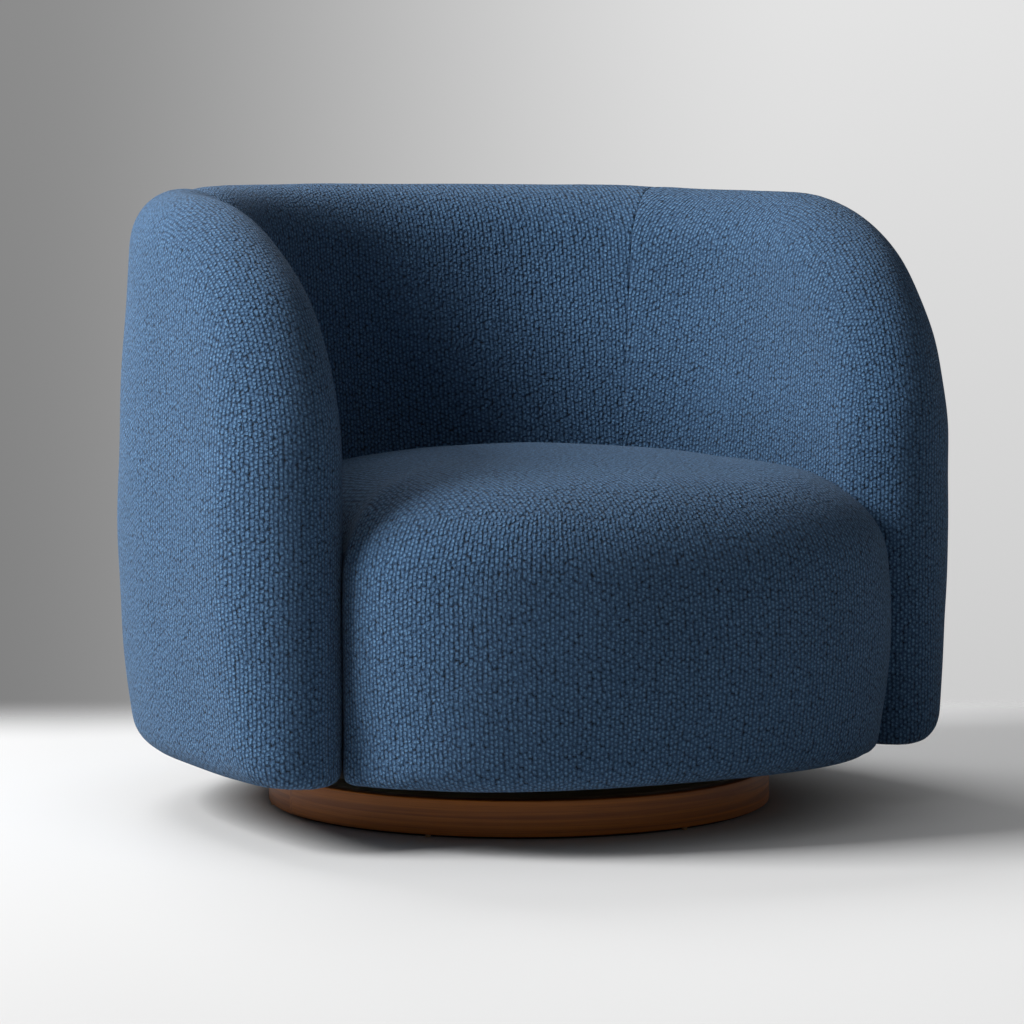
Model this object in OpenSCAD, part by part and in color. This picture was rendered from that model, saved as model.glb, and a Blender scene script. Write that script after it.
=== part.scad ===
// Barrel swivel chair: a padded wall that runs round the back and both arms, and a crowned seat block
// between them, on a timber frame that turns on a ball bearing over a low round plinth.
// Millimetres, +Z up. The origin is on the floor on the swivel axis, and the sitter faces -Y.

/* [Overall] */
// Height of the back's crest above the floor
chair_h = 712; // [690:1:740]
// Height of the padded body's underside above the floor
body_z = 73; // [70:1:84]

/* [Padded wall] */
// Plan radius of the back, to the middle of the wall
shell_r = 392; // [380:1:410]
// Place of the back arc's centre along Y
arc_y = -10; // [-20:1:5]
// Length of each straight arm in front of the arc's centre
arm_l = 250; // [235:1:265]
// How far the front of each arm leans in
arm_toe = 14; // [4:1:18]
// Thickness of the padded wall
wall_t = 124; // [118:1:132]
// Depth over which the wall's free edge rounds off
edge_r = 66; // [58:1:72]
// Radius of the wall's bottom edge
foot_r = 28; // [16:1:32]
// How far the outside swells between top and bottom
swell = 20; // [8:1:26]
// How far the inside leans in at the seat
lean = 36; // [20:1:42]
// How much lower the crest is over the arms' fronts
crest_drop = 18; // [0:1:26]
// Length over which the crest falls to the arm's front
fall_l = 298; // [280:1:320]
// Height at which the arm's front starts to round back
fall_z = 418; // [400:1:440]
// Fullness of that fall, 2 being an ellipse
fall_n = 2.07; // [1.9:0.01:2.4]
// Plan angle of the seams between back and arms
seam_a = 39; // [34:1:44]

/* [Seat block] */
// How far the seat's front stands before the arms' fronts
bow_past = 162; // [150:1:175]
// Half width of the seat's front
seat_half = 333; // [326:1:340]
// Depth of the bowed part of the seat's front
bow_d = 207; // [195:1:215]
// Fullness of the bow in plan
bow_n = 2.5; // [2.2:0.05:2.8]
// Height of the seat's edge roll, before the crown
seat_z = 392; // [380:1:405]
// Radius of the seat's top edge
seat_top_r = 95; // [80:1:105]
// Radius of the seat's bottom edge
seat_foot_r = 24; // [14:1:28]
// How far the seat's front swells
seat_swell = 14; // [0:1:18]

/* [Fabric and foam] */
// Thickness of the woven cover
cover_t = 2; // [1.5:0.1:2.5]
// Width of the hem turned under the body
hem_w = 20; // [14:1:24]
// Thickness of the foam on the seat's front
front_foam_t = 36; // [30:1:42]
// Thickness of the felt over the springs
felt_t = 5.5; // [4:0.5:6]

/* [Timber frame] */
// Thickness of the bottom board and of the shell's rails
ply_t = 18; // [15:1:21]
// Depth of the back posts
post_d = 41; // [36:1:44]
// Width of the back posts
post_w = 30; // [24:1:36]
// Number of back posts
post_n = 7; // [5:1:9]
// Thickness of the bent boards on both sides of the posts
skin_t = 3; // [2:0.5:3.5]
// How far the frame stands outside the middle of the wall
frame_shift = 6; // [3:1:9]
// Thickness of the arm panels
arm_ply_t = 9; // [6:1:11]
// Height of the seat deck above the bottom board
deck_h = 170; // [164:1:176]
// Thickness of the seat deck
deck_t = 22; // [18:1:25]
// Width of the seat deck's band
deck_band = 55; // [48:1:60]
// Height of the roll on the deck's edge
edge_roll_h = 20; // [16:1:24]

/* [Springs] */
// Number of sinuous springs
spring_n = 5; // [3:1:5]
// Distance between springs
spring_pitch = 80; // [72:1:84]
// Radius of the spring wire
wire_r = 1.9; // [1.6:0.1:2.1]
// Half length of each straight bar in a spring
bar_l = 17; // [12:1:20]
// Number of bends in each spring
bend_n = 12; // [10:2:14]
// How far the springs arch
arch_h = 12; // [6:1:13]

/* [Plinth] */
// Outer diameter of the plinth
plinth_d = 580; // [560:1:600]
// Height of the plinth's ring
plinth_h = 40; // [38:1:44]
// Thickness of the plinth's ring
ring_t = 18; // [15:1:21]
// Thickness of the board in the plinth
plinth_board_t = 18; // [15:1:21]
// Thickness of the felt ring on the floor
floor_felt_t = 3; // [2:0.5:4]
// Width of the felt ring
floor_felt_w = 9; // [6:1:10]
// Number of corner blocks
block_n = 8; // [6:1:8]
// Number of floor glides
glide_n = 6; // [4:1:8]
// Diameter of a floor glide
glide_d = 6; // [5:0.5:7]
// Angle of the first glide
glide_a = 43; // [0:1:59]

/* [Swivel] */
// Side of the square swivel plates
plate_w = 210; // [190:1:220]
// Thickness of the swivel plates
plate_t = 4; // [3:0.5:5]
// Distance between bolts along a plate's side
bolt_pitch = 170; // [160:1:174]
// Radius of the plate bolts
bolt_r = 4; // [3:0.5:4]
// Radius of the circle that the balls run on
race_r = 62; // [56:1:66]
// Radius of a bearing ball
ball_r = 5; // [4:0.5:5.5]
// Number of bearing balls
ball_n = 24; // [18:1:26]
// Radius of the pivot pin
pin_r = 10; // [8:0.5:12]

/* [Hidden] */
$fn = 64;

// Clearances: of a running fit, of a bolt in its hole, of soft pieces, and of wood to foam
run_c = 0.05;
bolt_c = 0.25;
soft_c = 1.2;
frame_c = 1.5;
seat_c = 1.5;
board_c = 0.3;

// Colours
blue = "#33567C";
walnut = "#5A3620";
birch = "#D9B98A";
steel = "#9A9DA1";
foam = "#EFE6C8";
black = "#1C1C1E";
white = "#E8E6E0";

// The padded wall runs along a path from the right arm's front, round the back, to the left arm's
// front. A station s is a distance along its middle line.
far = 1000;
tiny = 0.000001;
function arc_len(a) = shell_r * a * PI / 180;
path_l = 2 * arm_l + arc_len(180);
arm_y = arc_y - arm_l;
seam_s = arm_l + arc_len(seam_a);
seam_c = 0.2;
function clip(v) = min(1, max(0, v));
function near(s) = min(s, path_l - s);
function toe(u) = arm_toe * pow(clip(1 - u / arm_l), 2);
function angle(s) = (s - arm_l) / shell_r * 180 / PI;
function middle(s) =
    s < arm_l ? [shell_r - toe(s), arm_y + s]
    : s > path_l - arm_l ? [toe(path_l - s) - shell_r, arm_y + path_l - s]
    : [shell_r * cos(angle(s)), arc_y + shell_r * sin(angle(s))];
function outward(s) =
    s < arm_l ? [1, 0]
    : s > path_l - arm_l ? [-1, 0]
    : [cos(angle(s)), sin(angle(s))];

// The wall's free edge: level along the crest, then falling to each arm's front. An inset e gives the
// edge of a layer that lies e inside the cover's outer face.
drop_l = arm_l + arc_len(63);
function crest(s) = chair_h - crest_drop * clip(1 - near(s) / drop_l);
function fall(s, e) = clip((fall_l - near(s)) / (fall_l - e));
function edge_z(s, e) =
    fall_z + (crest(s) - e - fall_z) * pow(1 - pow(fall(s, e), fall_n), 1 / fall_n);

// Distance of a point of the wall from that edge, in the wall's own surface
function edge_dist(s, z, e) =
    let (
        a = fall_l - e,
        b = crest(s) - e - fall_z,
        kx = fall(s, e),
        kz = max(0, (z - fall_z) / b),
        g = pow(pow(kx, fall_n) + pow(kz, fall_n), 1 / fall_n)
    )
    g < tiny ? far
    : let (slope = norm([pow(kx / g, fall_n - 1) / a, pow(kz / g, fall_n - 1) / b]))
        max(0, (1 - g) / slope);

// A layer of the wall: its inset at the edge, half thickness, edge radius, share of the padding's
// swell and lean, and shift outwards
function layer(e) = [e, wall_t / 2 - e, edge_r - e, 1, 0];
cover_out = layer(0);
cover_in = layer(cover_t);
foam_out = layer(cover_t + soft_c);
cavity_half = post_d / 2 + skin_t + frame_c;
cavity_e = 38;
cavity = [cavity_e, cavity_half, tiny, 0, frame_shift];

lean_z = seat_z - 12;
function lean_at(z) = lean * clip((chair_h - z) / (chair_h - lean_z));
function swell_at(z) = swell * (sin(180 * pow(clip((z - body_z) / (chair_h - body_z)), 0.8)) - 0.5);
function foot_cut(z, e) = foot_r * (1 - sqrt(1 - pow(1 - clip((z - body_z - e) / foot_r), 2)));

// Offset of a layer from the middle line, on the outer side (1) or the inner side (-1)
function offset_at(s, z, side, l) =
    let (
        q = clip(edge_dist(s, z, l[0]) / l[2]),
        half = l[1] * sqrt(1 - pow(1 - q, 2)),
        cut = min(foot_cut(z, l[0]) * l[3], half * 0.9),
        pad = side > 0 ? swell_at(z) : lean_at(z) * clip(near(s) / fall_l)
    )
    side * (half - cut + pad * q * l[3]) + l[4];

function wall_point(s, z, side, l) =
    let (p = middle(s) + outward(s) * offset_at(s, z, side, l)) [p[0], p[1], z];

// Heights of a layer's rows from its bottom to the edge: close together at the foot and at the edge.
// The foam has some of the cover's rows, and stops short of the edge with a narrow flat.
foot_rows = 3;
wall_rows = 9;
row_power = 2.2;
foam_ks = [0, 2, 4, 6, 7, 8];
function upper_z(w, low, top) = low + foot_r + (top - low - foot_r) * (1 - pow(1 - w, row_power));
function cover_zs(low, top) = concat(
    [for (k = [0:foot_rows - 1]) low + foot_r * (1 - cos(90 * k / foot_rows))],
    [for (k = [0:wall_rows]) upper_z(k / wall_rows, low, top)]
);
function foam_zs(low, top) = concat(
    [low],
    [for (k = foam_ks) upper_z(k / wall_rows, low, top)]
);
front_flat = 1.5;

// The wall's inside stops on the bottom board, apart from the cover of the arms' fronts before it
board_z = body_z + cover_t + board_c;
board_top = board_z + ply_t;
inside_z = board_top + 0.7;
front_u = [16, 26];
function cover_low(s, lows) =
    lows[0] + (lows[1] - lows[0]) * clip((near(s) - front_u[0]) / (front_u[1] - front_u[0]));

// Stations of a layer crowd to its front edge
crowd_l = 100;
function station(s, e) = s + e * clip(1 - s / crowd_l);
arm_us = [0, 3, 9, 16, 26, 40, 60, 85, 115, 150, 185, 220, 250];
arm_steps = 5;
back_steps = 12;
arm_stations = concat(
    [for (u = arm_us) u * arm_l / 250],
    [for (i = [1:arm_steps]) arm_l + (seam_s - seam_c - arm_l) * i / arm_steps]
);
back_stations = [
    for (i = [0:back_steps])
        seam_s + seam_c + (path_l - 2 * (seam_s + seam_c)) * i / back_steps
];

// One station of a layer, from the inner bottom over the edge to the outer bottom
function cover_section(s, l, lows) =
    let (
        top = edge_z(s, l[0]),
        inner = cover_zs(cover_low(s, lows), top),
        outer = cover_zs(lows[0], top),
        n = len(outer) - 1
    )
    concat(
        [hem(s, -1, l, inner[0])],
        [for (z = inner) wall_point(s, z, -1, l)],
        [for (k = [n - 1:-1:0]) wall_point(s, outer[k], 1, l)],
        [hem(s, 1, l, outer[0])]
    );
function foam_section(s, l, lows) =
    let (
        top = edge_z(s, l[0]),
        inner = foam_zs(lows[1], top),
        outer = foam_zs(lows[0], top),
        n = len(outer) - 1
    )
    concat(
        [for (z = inner) wall_point(s, z, -1, l)],
        [for (k = [n:-1:0]) wall_point(s, outer[k], 1, l)]
    );

// The hem turned in under one side of the body, which runs back behind the arm's front
hem_k = 0.4;
hem_reach = [front_u[0], 90];
function hem(s, side, l, z) =
    let (
        p = middle(s) + outward(s) * offset_at(s, z, side, l) * hem_k,
        back = 2 * hem_w * clip(1 - near(s) / hem_reach[side > 0 ? 1 : 0])
    )
    [p[0], p[1] + back, z];

// Triangles of a sheet with two faces, 0 and 1, each a grid of rows i with k points. Its first row is
// open like its last, folded shut, so its halves share their points, or walled across.
function quad(a, b, c, d) = [[a, b, c], [a, c, d]];
function flat(lists) = [for (l = lists) for (v = l) v];
function sheet_faces(n, k, front) =
    let (
        id = function (i, j, f)
            (f * (n + 1) + i) * k + (front == "folded" && i == 0 && j > (k - 1) / 2 ? k - 1 - j : j)
    )
    flat(concat(
        [for (i = [0:n - 1], j = [0:k - 2])
            quad(id(i, j, 0), id(i + 1, j, 0), id(i + 1, j + 1, 0), id(i, j + 1, 0))],
        [for (i = [0:n - 1], j = [0:k - 2])
            quad(id(i, j, 1), id(i, j + 1, 1), id(i + 1, j + 1, 1), id(i + 1, j, 1))],
        [for (i = [0:n - 1])
            quad(id(i, 0, 0), id(i, 0, 1), id(i + 1, 0, 1), id(i + 1, 0, 0))],
        [for (i = [0:n - 1])
            quad(id(i, k - 1, 0), id(i + 1, k - 1, 0), id(i + 1, k - 1, 1), id(i, k - 1, 1))],
        [for (j = [0:k - 2])
            quad(id(n, j, 0), id(n, j, 1), id(n, j + 1, 1), id(n, j + 1, 0))],
        [for (j = front == "open" ? [0:k - 2] : [])
            quad(id(0, j, 0), id(0, j + 1, 0), id(0, j + 1, 1), id(0, j, 1))],
        [for (j = front == "walled" ? [0:k / 2 - 2] : [])
            quad(id(0, j, 0), id(0, j + 1, 0), id(0, k - 2 - j, 0), id(0, k - 1 - j, 0))],
        [for (j = front == "walled" ? [0:k / 2 - 2] : [])
            quad(id(0, j, 1), id(0, k - 1 - j, 1), id(0, k - 2 - j, 1), id(0, j + 1, 1))],
        front == "walled" ? [quad(id(0, 0, 0), id(0, k - 1, 0), id(0, k - 1, 1), id(0, 0, 1))] : []
    ));
module sheet(face_0, face_1, front) {
    polyhedron(
        points = flat(concat(face_0, face_1)),
        faces = sheet_faces(len(face_0) - 1, len(face_0[0]), front)
    );
}

module wall_cover(stations, front) {
    sheet(
        [for (s = stations) cover_section(station(s, 0), cover_out, [body_z, inside_z])],
        [for (s = stations) cover_section(
            front == "open" ? s : station(s, cover_t), cover_in, [body_z + cover_t, inside_z + cover_t]
        )],
        front
    );
}

foam_low = body_z + 7;
foam_lows = [foam_low, inside_z + cover_t + 9];
module wall_foam(stations, front) {
    sheet(
        [for (s = stations) foam_section(
            front == "open" ? s : station(s, foam_out[0] + front_flat), foam_out, foam_lows
        )],
        [for (s = stations) foam_section(
            front == "open" ? s : station(s, cavity_e + front_flat), cavity, foam_lows
        )],
        front
    );
}

// The seat block's plan: a bowed front, then the sides between the arms and the back inside the shell.
// Points run from the front's centre to the back's centre on the right.
seat_front_y = arm_y - bow_past;
bow_y = seat_front_y + bow_d;
function arm_face_x(y) =
    middle(y - arm_y)[0] + offset_at(y - arm_y, lean_z, -1, cover_out) - seat_c;
back_in_r = shell_r + offset_at(path_l / 2, lean_z, -1, cover_out) - seat_c;
function bow_x(y) = y > bow_y ? seat_half : seat_half * pow(1 - pow((bow_y - y) / bow_d, bow_n), 1 / bow_n);
function side_point(y) = [min(bow_x(y), arm_face_x(y)), y];
function arc_in_r(a) = shell_r + offset_at(arm_l + arc_len(a), lean_z, -1, cover_out) - seat_c;
side_us = [16, 26, 40, 60];
side_steps = 3;
bow_steps = 9;
half_plan = concat(
    [for (i = [0:bow_steps - 1]) let (b = 90 * i / bow_steps)
        [seat_half * pow(sin(b), 2 / bow_n), bow_y - bow_d * pow(cos(b), 2 / bow_n)]],
    [for (u = side_us) side_point(arm_y + u)],
    [for (i = [1:side_steps - 1])
        side_point(arm_y + side_us[3] + (arm_l - side_us[3]) * i / side_steps)],
    [for (a = [0:15:90]) [arc_in_r(a) * cos(a), arc_y + arc_in_r(a) * sin(a)]]
);
half_n = len(half_plan) - 1;
plan_n = 2 * half_n;
// The loop runs anticlockwise from the front's centre
function plan(i) =
    let (k = (i + plan_n) % plan_n)
    k <= half_n ? half_plan[k] : [-half_plan[plan_n - k][0], half_plan[plan_n - k][1]];
seat_back = arc_y + back_in_r;
seat_cy = (seat_back + seat_front_y) / 2;
plan_r = 330;
// A smaller outline of the same form, drawn in by about the inset
function drawn_in(p, inset) =
    let (f = 1 - inset / plan_r) [p[0] * f, seat_cy + (p[1] - seat_cy) * f];
function outline(inset) = [for (i = [0:plan_n - 1]) drawn_in(plan(i), inset)];

// Height at which the top edge starts to roll, and where the roll meets the crown
roll_z = seat_z - seat_top_r;
roll_a = 80;
// Rings of the seat's skin at an inset e, from the foot to the crown's rim: [inset, height]
foot_step = 30;
roll_step = 20;
function seat_rings(e) = concat(
    [for (a = [0:foot_step:90])
        [e + (seat_foot_r - e) * (1 - sin(a)), body_z + e + (seat_foot_r - e) * (1 - cos(a))]],
    [for (i = [1:2]) [e, body_z + seat_foot_r + (roll_z - body_z - seat_foot_r) * i / 3]],
    roll_rings(e, 0)
);
function roll_rings(e, first) =
    [for (a = [first:roll_step:roll_a])
        [seat_top_r - (seat_top_r - e) * cos(a), roll_z + (seat_top_r - e) * sin(a)]];
crown_steps = 3;
function crown_ring(e, t) =
    let (
        inset = seat_top_r - (seat_top_r - e) * cos(roll_a),
        w = plan_r - inset
    )
    [inset + w * t, roll_z + (seat_top_r - e) * sin(roll_a) + w * tan(90 - roll_a) * (t - t * t / 2)];
function crown_rings(e) = [for (i = [1:crown_steps - 1]) crown_ring(e, i / crown_steps)];

// The front swells over a rounded foot. What lies between the arms stands on the bottom board.
bow_end_y = half_plan[bow_steps - 1][1];
function on_board(p) = p[1] > bow_end_y + 1;
function front_share(p) = clip((arm_y + side_us[0] - p[1]) / 25);
function seat_point(i, ring, e) =
    let (
        p = plan(i),
        m = clip((ring[1] - body_z) / (seat_z - body_z)),
        out = seat_swell * front_share(p) * (sin(180 * m) - 1),
        low = on_board(p) ? inside_z + e : body_z + e,
        z = ring[1] >= roll_z ? ring[1]
            : low + (ring[1] - body_z - e) * (roll_z - low) / (roll_z - body_z - e),
        inset = on_board(p) && ring[1] < roll_z ? max(e, ring[0] - seat_foot_r) : ring[0],
        q = drawn_in(p, inset - out)
    )
    [q[0], q[1], z];
function seat_ring(ring, e) = [for (i = [0:plan_n - 1]) seat_point(i, ring, e)];

// Triangles of a stack of closed rings, and of a fan from a ring to a point
function ring_faces(from, count, k, out) = flat([
    for (r = [0:count - 2], i = [0:k - 1])
        let (
            a = from + r * k + i, b = from + r * k + (i + 1) % k,
            c = b + k, d = a + k
        )
        out ? quad(a, d, c, b) : quad(a, b, c, d)
]);
function fan_faces(from, k, tip, out) =
    [for (i = [0:k - 1])
        out ? [from + i, tip, from + (i + 1) % k] : [from + i, from + (i + 1) % k, tip]];
function band_faces(a, b, k) = flat([
    for (i = [0:k - 1])
        quad(a + i, a + (i + 1) % k, b + (i + 1) % k, b + i)
]);

module seat_skin() {
    hem_ring = function (e) [seat_foot_r + hem_w, body_z + e];
    rings = function (e) concat([hem_ring(e)], seat_rings(e), crown_rings(e));
    count = len(rings(0));
    outer = [for (r = rings(0)) seat_ring(r, 0)];
    inner = [for (r = rings(cover_t)) seat_ring(r, cover_t)];
    tips = [for (e = [0, cover_t]) [0, seat_cy, crown_ring(e, 1)[1]]];
    size = count * plan_n;
    polyhedron(
        points = concat(flat(outer), flat(inner), tips),
        faces = concat(
            ring_faces(0, count, plan_n, true),
            ring_faces(size, count, plan_n, false),
            fan_faces(size - plan_n, plan_n, 2 * size, true),
            fan_faces(2 * size - plan_n, plan_n, 2 * size + 1, false),
            band_faces(0, size, plan_n)
        )
    );
}

// The seat's foam is a crowned block on the felt, and the front's foam is a bowed slab before the panel
deck_z = board_top + deck_h;
deck_top = deck_z + deck_t;
felt_z = deck_top + edge_roll_h + board_c;
felt_top = felt_z + felt_t;
foam_z = felt_top + board_c;
function mix(a, b, t) = a + (b - a) * t;
module seat_block_foam() {
    e = foam_out[0] + 0.3;
    roll = roll_rings(e, 0);
    low = mix(roll[0], roll[1], (foam_z - roll[0][1]) / (roll[1][1] - roll[0][1]));
    rings = concat([low], roll_rings(e, roll_step), crown_rings(e));
    count = len(rings);
    size = count * plan_n;
    polyhedron(
        points = concat(
            flat([for (r = rings) seat_ring(r, e)]),
            [[0, seat_cy, crown_ring(e, 1)[1]], [0, seat_cy, low[1]]]
        ),
        faces = concat(
            ring_faces(0, count, plan_n, true),
            fan_faces(size - plan_n, plan_n, size, true),
            fan_faces(0, plan_n, size + 1, false)
        )
    );
}

// Pieces along the seat's front run between plan points -n and n. The panel stands behind the foam
// and clear of the foot's rounding.
panel_reach = 6;
foam_reach = 8;
panel_e = max(front_foam_t + cover_t, seat_foot_r + seat_swell) + 1;
panel_t = 12;
module front_slab() {
    e = foam_out[0] + 0.7;
    rings = concat(
        [[e + seat_foot_r * 0.4, foam_low]],
        [for (r = seat_rings(e)) if (r[1] > foam_low + 10 && r[1] < felt_top) r],
        [[e + 3, felt_top]]
    );
    sheet(
        [for (r = rings) [for (i = [-foam_reach:foam_reach]) seat_point(i, r, e)]],
        [for (r = rings) [for (i = [-foam_reach:foam_reach])
            let (q = drawn_in(plan(i), panel_e - soft_c)) [q[0], q[1], seat_point(i, r, e)[2]]]],
        "open"
    );
}

// Plan outlines of the seat's rigid pieces
deck_e = panel_e + 1;
module outline_band(inset, width) {
    difference() {
        polygon(outline(inset));
        polygon(outline(inset + width));
    }
}
// Y of the seat's outline at an inset, at the front and the back, for a given x
function front_at(x, inset) =
    let (
        f = 1 - inset / plan_r,
        y = bow_y - bow_d * pow(1 - pow(abs(x) / f / seat_half, bow_n), 1 / bow_n)
    )
    seat_cy + (y - seat_cy) * f;
function back_at(x, inset) =
    let (
        f = 1 - inset / plan_r,
        y = arc_y + sqrt(pow(back_in_r, 2) - pow(x / f, 2))
    )
    seat_cy + (y - seat_cy) * f;

// The frame in the wall stands on the bottom board
frame_r = shell_r + frame_shift;
post_in_r = frame_r - post_d / 2;
post_out_r = frame_r + post_d / 2;
panel_inset = cavity_e + 8;
arm_frame_u = cavity_e + front_flat + frame_c + 2;
arm_frame_y = arm_y + arm_frame_u;
post_front_y = arc_y - post_w / 2;
arm_in_x = frame_r - cavity_half + frame_c;
// The bottom board reaches to the foot's rounding, and the arm panels stand on it
board_r = shell_r + offset_at(path_l / 2, body_z + cover_t, 1, cover_in) - 1;
board_front_x = middle(arm_frame_u)[0] + offset_at(arm_frame_u, body_z + cover_t, 1, cover_in) - 1;
arm_out_x = min(board_front_x, frame_r - toe(arm_frame_u) + cavity_half - frame_c);
rail_z = floor(edge_z(arm_l - post_w / 2, panel_inset)) - ply_t - 2;
rail_top = rail_z + ply_t;
post_z = board_top + ply_t;
post_as = [for (i = [0:post_n - 1]) i * 180 / (post_n - 1)];
screw_r = 2;
module frame_ring(r_in, r_out, h, front = 0) {
    linear_extrude(h) intersection() {
        translate([0, arc_y]) difference() {
            circle(r_out);
            circle(r_in);
        }
        translate([-shell_r * 2, arc_y - front]) square([shell_r * 4, shell_r * 2]);
    }
}
module at_posts(r) {
    for (a = post_as)
        translate([0, arc_y, 0]) rotate(a) translate([r, 0, 0]) children();
}

// Swivel heights, from the plinth up to the bottom board
plinth_top = floor_felt_t + plinth_h;
lower_top = plinth_top + plate_t;
upper_bottom = board_z - plate_t;
ball_z = (lower_top + upper_bottom) / 2;
groove_r = ball_r + run_c;
race_w = ball_r + 6;
race_gap = 2;
cage_t = 3;
hub_gap = 1;
bush_t = 3;
bush_flange_t = 1.5;
bush_flange_r = pin_r + 7;
hub_r = pin_r + bush_t + 5;
pin_flange_r = pin_r + 9;
pin_flange_t = 4;
hub_low = lower_top + pin_flange_t + bush_flange_t + hub_gap;
hub_top = upper_bottom + plate_t + 6;
washer_t = 1.5;
washer_z = hub_top + bush_flange_t + run_c;
clip_z = washer_z + washer_t + run_c;
clip_t = 1.5;
clip_in_r = pin_r - 0.8;
pin_top = clip_z + clip_t + 2;
centre_hole_r = hub_r + 14;
bolt_head_r = bolt_r * 1.6;
bolt_head_h = 5.3;
bolt_washer_r = bolt_r * 2;
bolt_washer_t = 1.6;
nut_h = 6.5;
bolt_past = 2;
plinth_board_z = plinth_top - plinth_board_t;
tee_r = bolt_r + 1.5;
tee_flange_r = 11;
tee_flange_t = 1.7;
tee_l = 13;
module at_bolts() {
    for (x = [-1, 1], y = [-1, 1])
        translate([x, y, 0] * bolt_pitch / 2) children();
}
module bore(r, z0, z1) {
    translate([0, 0, z0 - 1]) cylinder(r = r, h = z1 - z0 + 2);
}
module tube(r_out, r_in, z0, z1) {
    rotate_extrude() translate([r_in, z0]) square([r_out - r_in, z1 - z0]);
}
module hex(r, z, h) {
    translate([0, 0, z]) cylinder(r = r / cos(30), h = h, $fn = 6);
}
// A countersunk wood screw that points down from z, and its hole
screw_head_r = 4;
screw_head_h = 3;
module screw_shape(z, l, c) {
    translate([0, 0, z]) mirror([0, 0, 1]) rotate_extrude()
        polygon([
            [0, 0], [screw_head_r + c, 0], [screw_r + c, screw_head_h],
            [screw_r + c, l + c], [0, l + c]
        ]);
}

// Plinth
glide_r0 = plinth_d / 2 - glide_d / 2 - 0.5;
felt_out_r = glide_r0 - glide_d / 2 - 1;
nail_r = 0.8;
nail_l = 12;
module at_glides() {
    for (i = [0:glide_n - 1])
        rotate(glide_a + i * 360 / glide_n) translate([glide_r0, 0, 0]) children();
}
block_r = plinth_d / 2 - ring_t;
block_d = 28;
block_w = 60;
block_h = 20;
block_x = sqrt(pow(block_r, 2) - pow(block_w / 2, 2)) - 0.5;
block_screw_l = 32;
module at_blocks() {
    for (i = [0:block_n - 1])
        rotate((i + 0.5) * 360 / block_n) children();
}
module block_screw_place() {
    at_blocks() translate([block_x - block_d / 2, 0, plinth_board_z - block_h])
        mirror([0, 0, 1]) children();
}
module felt_ring() {
    color(black) tube(felt_out_r, felt_out_r - floor_felt_w, 0, floor_felt_t);
}
module floor_glides() {
    color(black) at_glides() difference() {
        cylinder(d = glide_d, h = floor_felt_t);
        bore(nail_r + run_c, 1, floor_felt_t);
    }
}
module glide_nails() {
    color(steel) at_glides()
        translate([0, 0, run_c]) cylinder(r = nail_r, h = floor_felt_t + nail_l);
}
module plinth_ring() {
    color(walnut) difference() {
        tube(plinth_d / 2, plinth_d / 2 - ring_t, floor_felt_t, plinth_top);
        at_glides() bore(nail_r + run_c, 0, floor_felt_t + nail_l);
    }
}
module plinth_board() {
    color(birch) difference() {
        translate([0, 0, plinth_board_z]) cylinder(r = plinth_d / 2 - ring_t, h = plinth_board_t);
        at_bolts() bore(bolt_r + bolt_c, plinth_board_z, plinth_top);
        block_screw_place() screw_shape(0, block_screw_l, run_c);
    }
}
module plinth_blocks() {
    color(birch) difference() {
        at_blocks() translate([block_x - block_d, -block_w / 2, plinth_board_z - block_h])
            cube([block_d, block_w, block_h]);
        block_screw_place() screw_shape(0, block_screw_l, run_c);
    }
}
module block_screws() {
    color(steel) block_screw_place() screw_shape(0, block_screw_l, 0);
}

// Swivel
module swivel_plate(z) {
    difference() {
        translate([-plate_w / 2, -plate_w / 2, z]) cube([plate_w, plate_w, plate_t]);
        at_bolts() bore(bolt_r + bolt_c, z, z + plate_t);
        bore(hub_r, z, z + plate_t);
    }
}
module race(z0, z1) {
    difference() {
        tube(race_r + race_w, race_r - race_w, z0, z1);
        rotate_extrude() translate([race_r, ball_z]) circle(groove_r);
    }
}
module lower_swivel_plate() {
    color(steel) {
        swivel_plate(plinth_top);
        race(lower_top, ball_z - race_gap);
    }
}
module lower_plate_bolts() {
    color(steel) at_bolts() {
        hex(bolt_head_r, lower_top, bolt_head_h);
        translate([0, 0, plinth_board_z - bolt_washer_t - nut_h - bolt_past])
            cylinder(r = bolt_r, h = plinth_board_t + plate_t + bolt_washer_t + nut_h + bolt_past);
    }
}
module lower_plate_washers() {
    color(steel) at_bolts()
        tube(bolt_washer_r, bolt_r + run_c, plinth_board_z - bolt_washer_t, plinth_board_z);
}
module lower_plate_nuts() {
    nut_z = plinth_board_z - bolt_washer_t - nut_h;
    color(steel) at_bolts() difference() {
        hex(bolt_head_r, nut_z, nut_h);
        bore(bolt_r + run_c, nut_z, nut_z + nut_h);
    }
}
module pivot_pin() {
    color(steel) difference() {
        union() {
            translate([0, 0, plinth_top]) cylinder(r = hub_r, h = plate_t);
            translate([0, 0, lower_top]) cylinder(r = pin_flange_r, h = pin_flange_t);
            translate([0, 0, lower_top]) cylinder(r = pin_r, h = pin_top - lower_top);
        }
        tube(pin_r + 1, clip_in_r - run_c, clip_z - run_c, clip_z + clip_t + run_c);
    }
}
module pivot_washer() {
    color(steel) tube(bush_flange_r, pin_r + run_c, washer_z, washer_z + washer_t);
}
module pivot_circlip() {
    color(black) difference() {
        tube(pin_r + 3, clip_in_r, clip_z, clip_z + clip_t);
        translate([0, -2, clip_z - 1]) cube([pin_r + 4, 4, clip_t + 2]);
    }
}
module at_balls() {
    for (i = [0:ball_n - 1])
        rotate(i * 360 / ball_n) translate([race_r, 0, ball_z]) children();
}
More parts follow.
